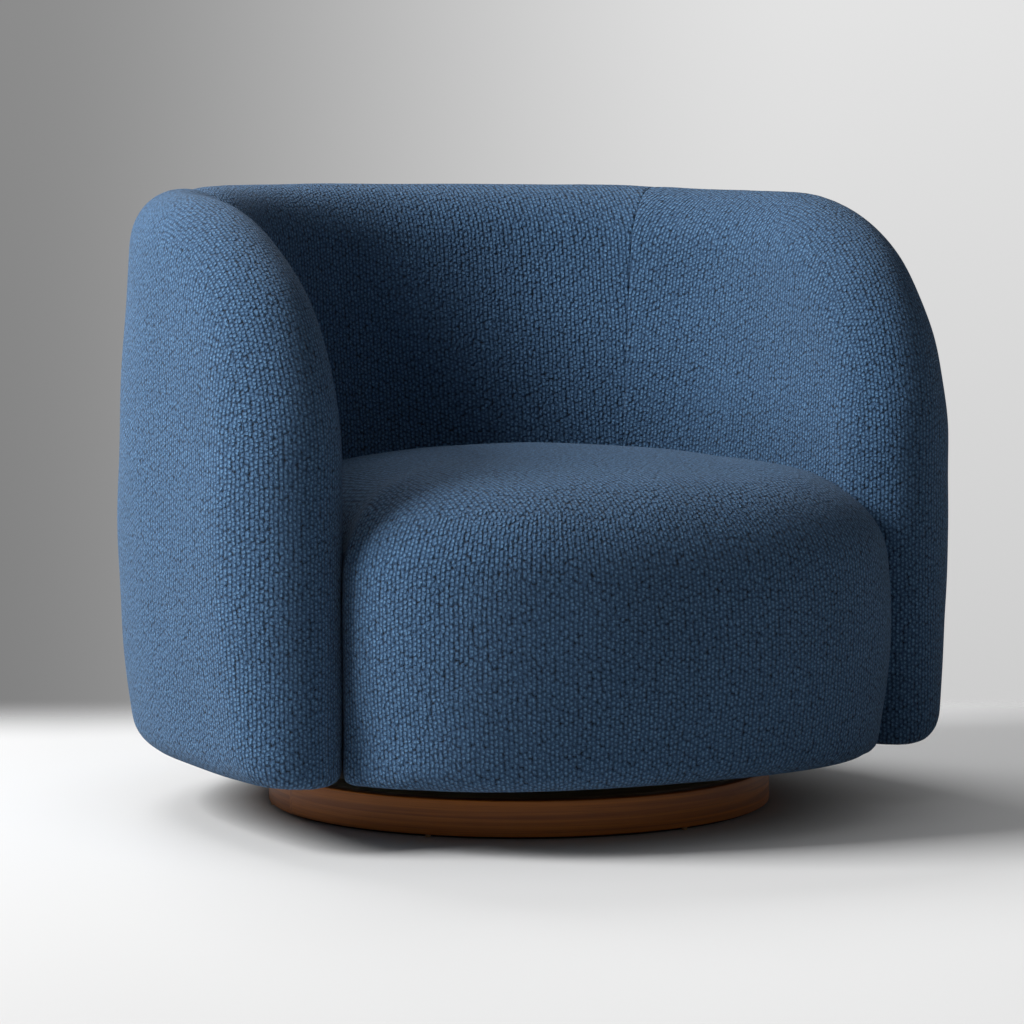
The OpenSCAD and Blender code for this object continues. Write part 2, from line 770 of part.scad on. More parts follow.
module ball_cage() {
    color(white) difference() {
        tube(race_r + ball_r + 4, race_r - ball_r - 4, ball_z - cage_t / 2, ball_z + cage_t / 2);
        at_balls() translate([0, 0, -cage_t]) cylinder(r = ball_r + 0.2, h = 2 * cage_t);
    }
}
module bearing_balls() {
    color(steel) at_balls() sphere(ball_r);
}
module upper_swivel_plate() {
    color(steel) {
        swivel_plate(upper_bottom);
        race(ball_z + race_gap, upper_bottom);
        tube(hub_r, pin_r + bush_t, hub_low, hub_top);
    }
}
module pivot_bush() {
    color("#B08A4A") {
        tube(pin_r + bush_t, pin_r + run_c, hub_low, hub_top);
        tube(bush_flange_r, pin_r + run_c, hub_low - bush_flange_t, hub_low);
        tube(bush_flange_r, pin_r + run_c, hub_top, hub_top + bush_flange_t);
    }
}
module upper_plate_bolts() {
    color(steel) at_bolts() {
        hex(bolt_head_r, upper_bottom - bolt_head_h, bolt_head_h);
        translate([0, 0, upper_bottom - run_c]) cylinder(r = bolt_r, h = plate_t + ply_t - 1);
    }
}
module tee_nuts() {
    color(steel) at_bolts() difference() {
        union() {
            translate([0, 0, board_top - tee_l]) cylinder(r = tee_r, h = tee_l);
            translate([0, 0, board_top]) cylinder(r = tee_flange_r, h = tee_flange_t);
        }
        bore(bolt_r + run_c, board_top - tee_l, board_top + tee_flange_t);
    }
}

// Bottom board: the wall's footprint and the seat's front, in one sheet that clears the foot's rounding
board_reach = panel_reach;
board_side_x = drawn_in(plan(foam_reach), seat_foot_r + hem_w + seat_swell)[0] - 2;
module board_plan(inset) {
    translate([0, arc_y]) intersection() {
        circle(board_r - inset);
        translate([-shell_r * 2, 0]) square([shell_r * 4, shell_r * 2]);
    }
    polygon([
        [board_r - inset, arc_y], [-board_r + inset, arc_y],
        [-board_front_x + inset, arm_frame_y + inset], [board_front_x - inset, arm_frame_y + inset]
    ]);
    polygon(concat(
        [for (i = [-board_reach:board_reach]) drawn_in(plan(i), panel_e + inset)],
        [[board_side_x - inset, arc_y], [-board_side_x + inset, arc_y]]
    ));
}
strut_is = [5, 11, half_n - 3];
strut_e = deck_e + deck_band / 2;
strut_l = 80;
strut_w = 20;
strut_screw_l = 36;
module at_struts() {
    for (k = strut_is, side = [-1, 1]) {
        i = side * k;
        p = drawn_in(plan(i), strut_e);
        d = plan(i + 1) - plan(i - 1);
        translate([p[0], p[1], 0]) rotate(atan2(d[1], d[0])) children();
    }
}
rail_screw_l = 34;
rail_screw_as = [for (i = [0:post_n - 2]) (i + 0.5) * 180 / (post_n - 1)];
module at_rail_screws() {
    for (a = rail_screw_as)
        translate([0, arc_y, 0]) rotate(a) translate([frame_r, 0, 0]) children();
}
module bottom_board() {
    color(birch) difference() {
        translate([0, 0, board_z]) linear_extrude(ply_t) board_plan(0);
        bore(centre_hole_r, board_z, board_top);
        at_bolts() bore(tee_r + run_c, board_z, board_top);
        at_rail_screws() screw_shape(post_z, rail_screw_l, run_c);
    }
}
module dust_cover() {
    color(black) translate([0, 0, board_z - 1]) linear_extrude(1 - run_c) difference() {
        board_plan(hem_w + 4);
        square(plate_w + 4, center = true);
    }
}

// Seat frame
module seat_struts() {
    color(birch) difference() {
        at_struts() translate([-strut_l / 2, -strut_w / 2, board_top])
            cube([strut_l, strut_w, deck_z - board_top]);
        at_struts() screw_shape(deck_top, strut_screw_l + deck_t, run_c);
    }
}
module strut_screws() {
    color(steel) at_struts() screw_shape(deck_top, strut_screw_l + deck_t, 0);
}
module front_panel() {
    color(birch) translate([0, 0, board_top]) linear_extrude(deck_z - board_top)
        polygon(concat(
            [for (i = [-panel_reach:panel_reach]) drawn_in(plan(i), panel_e)],
            [for (i = [panel_reach:-1:-panel_reach]) drawn_in(plan(i), panel_e + panel_t)]
        ));
}
module seat_deck() {
    color(birch) difference() {
        translate([0, 0, deck_z]) linear_extrude(deck_t) outline_band(deck_e, deck_band);
        at_struts() screw_shape(deck_top, strut_screw_l + deck_t, run_c);
    }
}
roll_w = 26;
module edge_roll() {
    color(white) translate([0, 0, deck_top]) linear_extrude(edge_roll_h)
        outline_band(deck_e, roll_w);
}

// Springs: straight bars joined by half-round bends, arched from the front of the deck to its back
clip_e = deck_e + deck_band - 10;
clip_w = 16;
clip_d = 9;
clip_h = 7;
spring_z = deck_top + clip_h / 2;
spring_xs = [for (i = [0:spring_n - 1]) (i - (spring_n - 1) / 2) * spring_pitch];
bend_steps = 3;
tube_sides = 6;
function spring_ends(x) = [front_at(x, clip_e), back_at(x, clip_e)];
function spring_path(x) =
    let (
        ends = spring_ends(x),
        r = (ends[1] - ends[0]) / bend_n / 2,
        rise = function (y) arch_h * (1 - pow(2 * (y - ends[0]) / (ends[1] - ends[0]) - 1, 2))
    )
    [for (k = [0:bend_n - 1], a = [0:180 / bend_steps:180])
        let (
            side = (k % 2 == 0 ? 1 : -1) * (x < 0 ? -1 : 1),
            y = ends[0] + r * (2 * k + 1 - cos(a))
        )
        [x + side * (bar_l + r * sin(a)), y, spring_z + rise(y)]];
function unit(v) = v / norm(v);
function tube_ring(path, i, r) =
    let (
        n = len(path) - 1,
        t = unit(path[min(i + 1, n)] - path[max(i - 1, 0)]),
        across = unit(cross(t, [0, 0, 1])),
        up = cross(across, t)
    )
    [for (a = [0:360 / tube_sides:359]) path[i] + r * (cos(a) * across + sin(a) * up)];
module wire(path, r) {
    n = len(path);
    last = (n - 1) * tube_sides;
    polyhedron(
        points = flat([for (i = [0:n - 1]) tube_ring(path, i, r)]),
        faces = concat(
            ring_faces(0, n, tube_sides, false),
            [[for (i = [tube_sides - 1:-1:0]) i]],
            [[for (i = [0:tube_sides - 1]) last + i]]
        )
    );
}
module seat_springs() {
    color(steel) for (x = spring_xs) {
        path = spring_path(x);
        tail = [2 * x - path[0][0], path[0][1], path[0][2]];
        end = path[len(path) - 1];
        wire(concat([tail], path, [[2 * x - end[0], end[1], end[2]]]), wire_r);
    }
}
module spring_clips() {
    color(steel) for (x = spring_xs, y = spring_ends(x)) translate([x, y, spring_z])
        difference() {
            cube([clip_w, clip_d, clip_h], center = true);
            rotate([0, 90, 0]) cylinder(r = wire_r + run_c, h = 2 * clip_w, center = true);
        }
}
module spring_felt() {
    color(white) translate([0, 0, felt_z]) linear_extrude(felt_t) polygon(outline(deck_e));
}
module seat_foam() {
    color(foam) seat_block_foam();
}
module front_foam() {
    color(foam) front_slab();
}
module seat_cover() {
    color(blue) seat_skin();
}

// Frame of the wall
module bottom_rail() {
    color(birch) difference() {
        translate([0, 0, board_top]) frame_ring(post_in_r, post_out_r, ply_t, post_w / 2);
        at_rail_screws() screw_shape(post_z, rail_screw_l, run_c);
    }
}
module rail_screws() {
    color(steel) at_rail_screws() screw_shape(post_z, rail_screw_l, 0);
}
top_screw_l = 45;
module back_posts() {
    color(birch) difference() {
        at_posts(post_in_r + 1) translate([0, -post_w / 2, post_z])
            cube([post_d - 2, post_w, rail_z - post_z]);
        at_posts(frame_r) screw_shape(rail_top, top_screw_l, run_c);
        arm_screw_places() arm_screw(run_c);
    }
}
module top_rail() {
    color(birch) difference() {
        translate([0, 0, rail_z]) frame_ring(post_in_r, post_out_r, ply_t, post_w / 2);
        at_posts(frame_r) screw_shape(rail_top, top_screw_l, run_c);
    }
}
module top_rail_screws() {
    color(steel) at_posts(frame_r) screw_shape(rail_top, top_screw_l, 0);
}
module inner_back_board() {
    color(birch) translate([0, 0, board_top])
        frame_ring(post_in_r - skin_t, post_in_r, rail_top - board_top);
}
module outer_back_board() {
    color(birch) translate([0, 0, board_top])
        frame_ring(post_out_r, post_out_r + skin_t, rail_top - board_top);
}

// Arm panels: flat boards cut to the arm's fall
panel_steps = 9;
panel_us = [
    for (i = [0:panel_steps])
        arm_frame_u + (arm_l - post_w / 2 - arm_frame_u) * pow(i / panel_steps, 1.6)
];
function panel_z(u) = edge_z(u, panel_inset);
module arm_panel(x) {
    translate([x, 0, 0]) rotate([90, 0, 90]) linear_extrude(arm_ply_t)
        polygon(concat(
            [[arm_frame_y, board_top]],
            [[post_front_y, board_top]],
            [for (i = [panel_steps:-1:0]) [arm_y + panel_us[i], panel_z(panel_us[i])]]
        ));
}
spacer_x = arm_in_x + arm_ply_t;
spacer_w = arm_out_x - arm_in_x - 2 * arm_ply_t;
spacer_l = 60;
spacer_h = 45;
spacer_below_fall = 80;
top_spacer_y = 120;
spacer_places = [
    [arm_frame_y + 6, board_top], [post_front_y - spacer_l, board_top],
    [arm_frame_y + 6, fall_z - spacer_below_fall], [post_front_y - spacer_l, fall_z - spacer_below_fall],
    [post_front_y - spacer_l, panel_z(arm_l - top_spacer_y) - spacer_h - 6]
];
arm_screw_zs = [for (p = spacer_places) if (p[0] > arm_frame_y + 10) p[1] + spacer_h / 2];
arm_screw_l = post_w + 40;
module arm_screw(c) {
    rotate([90, 0, 0]) mirror([0, 0, 1]) screw_shape(0, arm_screw_l, c);
}
module arm_screw_places() {
    for (side = [-1, 1], z = arm_screw_zs)
        translate([side * (spacer_x + spacer_w / 2), arc_y + post_w / 2, z]) children();
}
module left_inner_arm_panel() {
    color(birch) mirror([1, 0, 0]) arm_panel(arm_in_x);
}
module left_outer_arm_panel() {
    color(birch) mirror([1, 0, 0]) arm_panel(arm_out_x - arm_ply_t);
}
module right_inner_arm_panel() {
    color(birch) arm_panel(arm_in_x);
}
module right_outer_arm_panel() {
    color(birch) arm_panel(arm_out_x - arm_ply_t);
}
module arm_spacers() {
    color(birch) difference() {
        for (side = [0, 1], p = spacer_places)
            mirror([side, 0, 0]) translate([spacer_x, p[0], p[1]]) cube([spacer_w, spacer_l, spacer_h]);
        arm_screw_places() arm_screw(run_c);
    }
}
module arm_panel_screws() {
    color(steel) arm_screw_places() arm_screw(0);
}

// Padding and covers of the wall
module back_foam() {
    color(foam) wall_foam(back_stations, "open");
}
module right_arm_foam() {
    color(foam) wall_foam(arm_stations, "walled");
}
module left_arm_foam() {
    color(foam) mirror([1, 0, 0]) wall_foam(arm_stations, "walled");
}
module back_cover() {
    color(blue) wall_cover(back_stations, "open");
}
module right_arm_cover() {
    color(blue) wall_cover(arm_stations, "folded");
}
module left_arm_cover() {
    color(blue) mirror([1, 0, 0]) wall_cover(arm_stations, "folded");
}

felt_ring();
floor_glides();
glide_nails();
plinth_ring();
plinth_board();
plinth_blocks();
block_screws();
lower_swivel_plate();
lower_plate_bolts();
lower_plate_washers();
lower_plate_nuts();
pivot_pin();
pivot_washer();
pivot_circlip();
ball_cage();
bearing_balls();
upper_swivel_plate();
pivot_bush();
upper_plate_bolts();
tee_nuts();
bottom_board();
dust_cover();
seat_struts();
strut_screws();
front_panel();
seat_deck();
edge_roll();
spring_clips();
seat_springs();
spring_felt();
seat_foam();
front_foam();
seat_cover();
bottom_rail();
rail_screws();
back_posts();
top_rail();
top_rail_screws();
inner_back_board();
outer_back_board();
left_inner_arm_panel();
left_outer_arm_panel();
right_inner_arm_panel();
right_outer_arm_panel();
arm_spacers();
arm_panel_screws();
back_foam();
left_arm_foam();
right_arm_foam();
back_cover();
left_arm_cover();
right_arm_cover();
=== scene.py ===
"""Barrel swivel chair: woven covers over foam on a timber frame, turning on a low walnut plinth.

The forms are given in millimetres, as a workshop drawing gives them, and every mesh is in metres with +Z up.
The sitter faces -Y, and the origin is on the floor on the swivel axis.
"""

import logging
import math
from abc import ABC, abstractmethod
from collections.abc import Iterator
from contextlib import contextmanager
from dataclasses import dataclass
from enum import Enum

import bmesh
import bpy
import numpy as np
from mathutils import Matrix, Vector


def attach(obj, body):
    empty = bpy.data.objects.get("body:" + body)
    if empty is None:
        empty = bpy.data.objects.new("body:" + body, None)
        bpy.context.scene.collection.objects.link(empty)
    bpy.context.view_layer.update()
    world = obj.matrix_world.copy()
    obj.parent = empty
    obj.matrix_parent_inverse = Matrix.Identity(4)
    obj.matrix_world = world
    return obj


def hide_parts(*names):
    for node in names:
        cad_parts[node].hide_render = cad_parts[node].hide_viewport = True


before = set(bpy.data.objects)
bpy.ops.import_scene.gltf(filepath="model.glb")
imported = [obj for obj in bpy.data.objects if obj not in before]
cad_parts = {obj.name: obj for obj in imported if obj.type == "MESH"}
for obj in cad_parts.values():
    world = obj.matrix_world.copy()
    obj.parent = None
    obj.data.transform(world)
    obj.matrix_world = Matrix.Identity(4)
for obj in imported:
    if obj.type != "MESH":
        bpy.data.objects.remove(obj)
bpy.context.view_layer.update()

MM = 0.001
TURN = 2 * math.pi
Array = np.ndarray
Piece = bpy.types.Object
Socket = bpy.types.NodeSocket
Triple = tuple[float, float, float]
log = logging.getLogger("chair")


def srgb(code: str) -> tuple[float, float, float, float]:
    """Turn an sRGB hex colour into the linear colour that a shader takes.

    Args:
        code: The colour as "#RRGGBB".

    Returns:
        Red, green, blue and alpha, linear, from 0 to 1.
    """
    parts = [int(code[i:i + 2], 16) / 255 for i in (1, 3, 5)]
    red, green, blue = (p / 12.92 if p <= 0.04045 else ((p + 0.055) / 1.055) ** 2.4 for p in parts)
    return red, green, blue, 1.0


class Net:
    """A node tree, drawn node by node, each known by the socket it gives."""

    def __init__(self, tree: bpy.types.NodeTree) -> None:
        """Start with an empty tree."""
        self.tree = tree
        tree.nodes.clear()

    def put(self, kind: str, inputs: dict | None = None, out: int | str | None = 0, **settings):
        """Add a node with its settings and links.

        Args:
            kind: The node's type, without its first word.
            inputs: Values or sockets to set or link, by input name or index.
            out: The output to return, by name or index, or None for the node itself.
            **settings: Properties of the node.

        Returns:
            The chosen output socket, or the node.
        """
        node = self.tree.nodes.new("ShaderNode" + kind)
        for key, value in settings.items():
            setattr(node, key, value)
        for key, value in (inputs or {}).items():
            if isinstance(value, Socket):
                self.tree.links.new(value, node.inputs[key])
            else:
                node.inputs[key].default_value = value
        return node.outputs[out] if out is not None and node.outputs else node

    def math(self, kind: str, *values: float | Socket) -> Socket:
        """Work with numbers."""
        return self.put("Math", dict(enumerate(values)), operation=kind)

    def vector(self, kind: str, first: Socket, second: Triple | float | Socket = (0.0, 0.0, 0.0)) -> Socket:
        """Work with vectors, and give a vector, or a number for a product or a length."""
        inputs = {0: first, "Scale" if kind == "SCALE" else 1: second}
        return self.put("VectorMath", inputs, int(kind in ("DOT_PRODUCT", "LENGTH")), operation=kind)

    def noise(self, place: Socket, size_mm: float, detail: float = 2.0, out: int | str = 0) -> Socket:
        """Add noise with lumps of a size."""
        return self.put("TexNoise", {"Vector": place, "Scale": 1 / (size_mm * MM), "Detail": detail}, out)

    def span(self, value: Socket, low: float | Socket = 0.0, high: float = 1.0, start: float = 0.0,
             end: float = 1.0, soft: bool = False) -> Socket:
        """Turn the range from low to high into the range from start to end, with soft ends if asked."""
        return self.put("MapRange", {0: value, 1: low, 2: high, 3: start, 4: end},
                        interpolation_type="SMOOTHSTEP" if soft else "LINEAR")

    def blend(self, share: Socket, first: str | Socket, second: str | Socket) -> Socket:
        """Mix two colours, each a hex colour or a socket."""
        a, b = (srgb(colour) if isinstance(colour, str) else colour for colour in (first, second))
        return self.put("Mix", {0: share, 6: a, 7: b}, 2, data_type="RGBA")

    def bump(self, height: Socket, deep_mm: float, strength: float, **settings) -> Socket:
        """Raise the surface by a height."""
        inputs = {"Height": height, "Distance": deep_mm * MM, "Strength": strength}
        return self.put("Bump", inputs, **settings)


# Finishes


@dataclass(frozen=True)
class Finish(ABC):
    """A finish: what a surface is made of and how it was worked."""

    name: str
    slot: str
    base: str
    deep: str
    roughness: float = 0.6

    def material(self) -> bpy.types.Material:
        """Return the finish's material, made once."""
        made = bpy.data.materials.get(self.name)
        if made is None:
            made = bpy.data.materials.new(self.name)
            made.use_nodes = True
            made.diffuse_color = srgb(self.base)
            net = Net(made.node_tree)
            shader = net.put("BsdfPrincipled", {"Roughness": self.roughness} | self.draw(net))
            net.put("OutputMaterial", {"Surface": shader})
        return made

    @abstractmethod
    def draw(self, net: Net) -> dict[str, Socket | float | tuple]:
        """Draw the finish's pattern, and return what goes into the shader's inputs."""

    def dress(self, piece: Piece) -> None:
        """Give the piece this finish, on all its faces."""
        piece.data.materials.clear()
        piece.data.materials.append(self.material())


@dataclass(frozen=True)
class NubWeave(Finish):
    """Heavy wool-blend cloth: fat yarn nubs in columns, each column half a nub below the last."""

    # Painted highlight: the colour of the nubs' crowns and hair tips
    crown: str = "#6089AF"
    sheen: str = "#C4DAF2"
    column_mm: float = 5.1
    nub_mm: float = 4.9
    relief_mm: float = 2.0
    nub_edge: tuple[float, float] = (0.74, 0.24)
    groove: float = 0.62
    groove_power: float = 0.42
    column_wander_mm: tuple[float, float] = (60.0, 4.0)
    nub_wander_mm: tuple[float, float] = (4.8, 2.2)
    jitter: float = 0.48
    lump_mm: float = 12.0
    yarn_mm: float = 4.0
    hair_mm: float = 1.5
    # Relief spans of the painted shade in the pits and the painted highlight on the crowns
    painted_pit_shade_span: tuple[float, float] = (0.64, 1.12)
    painted_highlight_span: tuple[float, float] = (1.4, 1.95)
    patch_mm: float = 90.0

    def cloth(self, net: Net, place: Socket) -> Socket:
        """Lay the cloth: the band's map gives way to the top's nub by nub, along the roll."""
        band, top = (net.put("UVMap", uv_map=name) for name in ("weave", "weave_top"))
        share = net.put("Attribute", out="Fac", attribute_name="top_share")
        edge = net.math("MULTIPLY_ADD", net.noise(place, self.lump_mm, 0.0), 1.2, share)
        over = net.math("GREATER_THAN", edge, 1.1)
        return net.put("Mix", {0: over, 4: band, 5: top}, 1, data_type="VECTOR")

    def wander(self, net: Net, place: Socket, size_mm: float, reach_mm: float) -> Socket:
        """Shift places to and fro over lumps of a size."""
        lumps = net.noise(place, size_mm, 1.0, "Color")
        return net.vector("SCALE", net.vector("SUBTRACT", lumps, (0.5, 0.5, 0.5)), reach_mm * MM)

    def draw(self, net: Net) -> dict[str, Socket | float | tuple]:
        """Draw the nubs on the piece's own maps, wandering a little with the yarn's thickness."""
        place = net.put("TexCoord", out="Object")
        # Whole columns wander over a few centimetres, and single nubs by part of their width
        slow, quick = (self.wander(net, place, *way) for way in (self.column_wander_mm, self.nub_wander_mm))
        shift = net.vector("ADD", slow, quick)
        spot = net.vector("ADD", self.cloth(net, place), shift)
        spot = net.vector("MULTIPLY", spot, (1 / (self.column_mm * MM), 1 / (self.nub_mm * MM), 0.0))
        across, down = net.put("SeparateXYZ", {0: spot}, None).outputs[:2]
        drop = net.math("MULTIPLY_ADD", net.math("FLOOR", across), 0.5, down)
        # A nub is round and sits a little off its place, with pits at its corners and a groove on both sides
        seat = net.put("CombineXYZ", {0: net.math("ADD", across, self.jitter / 2 - 0.5), 1: drop})
        cell = net.put("TexVoronoi", {"Vector": seat, "Scale": 1.0, "Randomness": self.jitter},
                       voronoi_dimensions="2D")
        wave = net.math("ABSOLUTE", net.math("SINE", net.math("MULTIPLY", across, math.pi)))
        groove = net.span(net.math("POWER", wave, self.groove_power), start=self.groove)
        nub = net.math("MULTIPLY", net.span(cell, *self.nub_edge), groove)
        # Yarn of uneven thickness, and its short hairs; the same relief also sets where the painted pit
        # shade and the painted crown highlight fall
        height = net.math("MULTIPLY_ADD", net.noise(place, self.yarn_mm), 0.5, nub)
        relief = net.math("MULTIPLY_ADD", net.noise(place, self.hair_mm), 0.9, height)
        # Painted shade darkens the pits towards near black, and a painted highlight lightens the crowns and
        # hair tips
        colour = net.blend(net.span(relief, *self.painted_pit_shade_span, soft=True), self.deep, self.base)
        colour = net.blend(net.span(relief, *self.painted_highlight_span, soft=True), colour, self.crown)
        # Dye lots and wear make broad, faint patches
        shade = net.span(net.noise(place, self.patch_mm), start=0.93, end=1.07)
        return {"Base Color": net.vector("SCALE", colour, shade),
                "Normal": net.bump(relief, self.relief_mm, 1.0),
                "Sheen Weight": 0.13, "Sheen Roughness": 0.45, "Sheen Tint": srgb(self.sheen),
                "Specular IOR Level": 0.25}


@dataclass(frozen=True)
class Timber(Finish):
    """Sawn and sanded wood, or plywood, with its grain along the piece's long way."""

    grain_mm: Triple = (120.0, 3.5, 3.5)
    mapped: bool = False
    coat: float = 0.0

    def draw(self, net: Net) -> dict[str, Socket | float | tuple]:
        """Draw growth rings as stretched noise, with fine pores over them."""
        place = net.put("UVMap", uv_map="grain") if self.mapped else net.put("TexCoord", out="Object")
        grain = net.vector("MULTIPLY", place, tuple(1 / (g * MM) for g in self.grain_mm))
        rings = net.put("TexNoise", {"Vector": grain, "Scale": 0.35, "Detail": 4.0, "Distortion": 0.6})
        pores = net.put("TexNoise", {"Vector": grain, "Scale": 2.4, "Detail": 3.0, "Roughness": 0.7})
        colour = net.blend(net.span(rings, 0.32, 0.68, soft=True), self.deep, self.base)
        return {"Base Color": net.vector("SCALE", colour, net.span(pores, 0.30, 0.46, 0.72)),
                "Roughness": net.span(pores, start=self.roughness + 0.12, end=self.roughness - 0.06),
                "Normal": net.bump(pores, 0.2, 0.5), "Coat Weight": self.coat, "Coat Roughness": 0.22}


@dataclass(frozen=True)
class Steel(Finish):
    """Bare, plated or drawn metal, a little uneven in its plating and scratched in handling."""

    cloud_mm: float = 18.0
    scratch_mm: float = 1.2

    def draw(self, net: Net) -> dict[str, Socket | float | tuple]:
        """Draw uneven plating and fine scratches."""
        place = net.put("TexCoord", out="Object")
        cloud = net.noise(place, self.cloud_mm, 4.0)
        return {"Base Color": net.blend(cloud, self.deep, self.base), "Metallic": 1.0,
                "Roughness": net.span(cloud, 0.3, 0.7, self.roughness + 0.1, self.roughness - 0.08),
                "Normal": net.bump(net.noise(place, self.scratch_mm), 0.05, 0.4)}


@dataclass(frozen=True)
class Pore(Finish):
    """Foam, felt, board or moulded plastic: a matt stuff with a grain of its own."""

    grain_mm: float = 1.5
    relief_mm: float = 0.4
    cloud_mm: float = 30.0

    def draw(self, net: Net) -> dict[str, Socket | float | tuple]:
        """Draw cells or matted fibres of the stuff's own size."""
        place = net.put("TexCoord", out="Object")
        cell = net.put("TexVoronoi", {"Vector": place, "Scale": 1 / (self.grain_mm * MM)})
        mixed = net.math("MULTIPLY_ADD", cell, 0.5, net.noise(place, self.cloud_mm, 5.0))
        return {"Base Color": net.blend(net.span(mixed, 0.35), self.base, self.deep),
                "Normal": net.bump(cell, self.relief_mm, 0.6, invert=True)}


class Look(Enum):
    """The chair's finishes. The first one of a material slot is the one its solids take."""

    # Dyed wool blend: matt, with a painted highlight on the nubs' crowns and hairs, and near-black painted
    # shade in the pits between them
    WEAVE = NubWeave("wool_blend_nub_weave_rolled_over", "blue_weave", "#335070", "#07131E", 0.9)
    # Bent ash stained as walnut: a warm brown with straight grain, and a dull highlight from its thin coat
    WALNUT = Timber("walnut_stained_ash_satin", "walnut", "#BF6F22", "#94511A", 0.5,
                    grain_mm=(160.0, 2.2, 2.2), mapped=True, coat=0.06)
    # Sanded birch: pale and plain, with fine grain and no shine
    BIRCH = Timber("birch_plywood_sanded", "birch_plywood", "#D9BC8E", "#C4A070", 0.62)
    # The same in black, a stain some makers use, here chosen as painted shade so that its edge stays dark in
    # the gap under the covers
    STAINED_BIRCH = Timber("birch_plywood_black_gap_shade", "birch_plywood", "#2A2622", "#171412", 0.7)
    # Pressed fibres: an even brown, faintly mottled
    HARDBOARD = Pore("hardboard_pressed", "hardboard", "#8A6542", "#6B4B2F", 0.75,
                     grain_mm=1.1, relief_mm=0.15)
    # Cut foam: cream, open cells that scatter all light
    FOAM = Pore("polyurethane_foam_cut", "foam", "#EFE6C8", "#D9CBA2", 0.95, grain_mm=1.4, relief_mm=0.7)
    # Needled fibres: a woolly light grey
    PAD_FELT = Pore("needled_pad_felt", "pad_felt", "#B9B4AA", "#8E8980", 0.98, grain_mm=2.2, relief_mm=0.6)
    # Felt pressed into a roll: a darker, closer grey
    ROLL_FELT = Pore("pressed_edge_roll_felt", "edge_roll_felt", "#9C978C", "#77726A", 0.98,
                     grain_mm=2.0, relief_mm=0.5)
    # Bonded cloth: a dull black with small bonding pits
    DUST_CLOTH = Pore("bonded_dust_cloth", "dust_cloth", "#1F1F21", "#101012", 0.95,
                      grain_mm=1.8, relief_mm=0.12)
    # Dense wool felt: a black that gives almost no light back
    DARK_FELT = Pore("pressed_wool_felt", "dark_felt", "#1B1A19", "#0D0C0C", 0.98,
                     grain_mm=0.8, relief_mm=0.3)
    # Moulded nylon: smooth and even, with a soft waxy shine
    TAN_PLASTIC = Pore("moulded_tan_nylon", "tan_plastic", "#A9825A", "#94704C", 0.45,
                       grain_mm=0.9, relief_mm=0.04)
    # The same undyed: a milky white
    NYLON = Pore("moulded_white_nylon", "nylon", "#E8E6E0", "#D8D5CC", 0.4, grain_mm=0.9, relief_mm=0.03)
    # Black oxide: dark metal with a dull, broad shine
    BLACK_STEEL = Steel("black_oxide_steel", "black_steel", "#2A2A2C", "#1B1B1D", 0.5)
    # Zinc plating: bright and slightly cloudy
    ZINC = Steel("zinc_plated_steel", "zinc_steel", "#C9CBCC", "#9FA3A6", 0.36)
    # Drawn wire: mid grey, half dull
    SPRING = Steel("drawn_spring_steel", "spring_steel", "#77797C", "#4E5053", 0.42)
    # Ground balls: nearly a mirror
    BEARING = Steel("ground_bearing_steel", "bearing_steel", "#D4D6D8", "#B9BCBF", 0.16)
    # Sintered bronze: brown-yellow metal with a dull shine
    BRONZE = Steel("sintered_bronze", "bronze", "#B08A4A", "#8C6A34", 0.44)


LOOKS = {look.value.slot: look for look in reversed(Look)}


# Meshes


def linked(name: str, data: bpy.types.ID) -> Piece:
    """Put a mesh, a lamp or a camera into the scene as a new object."""
    piece = bpy.data.objects.new(name, data)
    bpy.context.scene.collection.objects.link(piece)
    return piece


@contextmanager
def editing(piece: Piece) -> Iterator[bmesh.types.BMesh]:
    """Open the piece's mesh for editing, and write it back afterwards."""
    mesh = bmesh.new()
    mesh.from_mesh(piece.data)
    yield mesh
    mesh.to_mesh(piece.data)
    mesh.free()
    piece.data.update()


def copy_of(node: str, name: str) -> Piece:
    """Copy a carried-over solid's mesh as a new piece with no material, its loose triangles joined."""
    piece = linked(name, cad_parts[node].data.copy())
    piece.data.name = name
    piece.data.materials.clear()
    with editing(piece) as mesh:
        bmesh.ops.remove_doubles(mesh, verts=mesh.verts, dist=0.02 * MM)
    return piece


def loft(name: str, sections: Array) -> Piece:
    """Skin closed sections, one after another, and cap both ends.

    Args:
        name: The piece's name.
        sections: Points in millimetres, by section and then round it.

    Returns:
        A closed solid.
    """
    count, size = sections.shape[:2]
    faces = [(i * size + j, i * size + (j + 1) % size, (i + 1) * size + (j + 1) % size, (i + 1) * size + j)
             for i in range(count - 1) for j in range(size)]
    faces += [tuple(range(size - 1, -1, -1)), tuple((count - 1) * size + j for j in range(size))]
    skin = bpy.data.meshes.new(name)
    skin.from_pydata([tuple(p) for p in sections.reshape(-1, 3) * MM], [], faces)
    piece = linked(name, skin)
    with editing(piece) as mesh:
        bmesh.ops.remove_doubles(mesh, verts=mesh.verts, dist=0.05 * MM)
        bmesh.ops.recalc_face_normals(mesh, faces=mesh.faces)
    return piece


def only(piece: Piece) -> None:
    """Select the piece and nothing else, and make it active."""
    bpy.ops.object.select_all(action="DESELECT")
    piece.select_set(True)
    bpy.context.view_layer.objects.active = piece


def finish_with(piece: Piece, kind: str, **settings) -> None:
    """Add a modifier with its properties to the piece, and apply it."""
    only(piece)
    modifier = piece.modifiers.new(kind.lower(), kind)
    for key, value in settings.items():
        setattr(modifier, key, value)
    bpy.ops.object.modifier_apply(modifier=modifier.name)


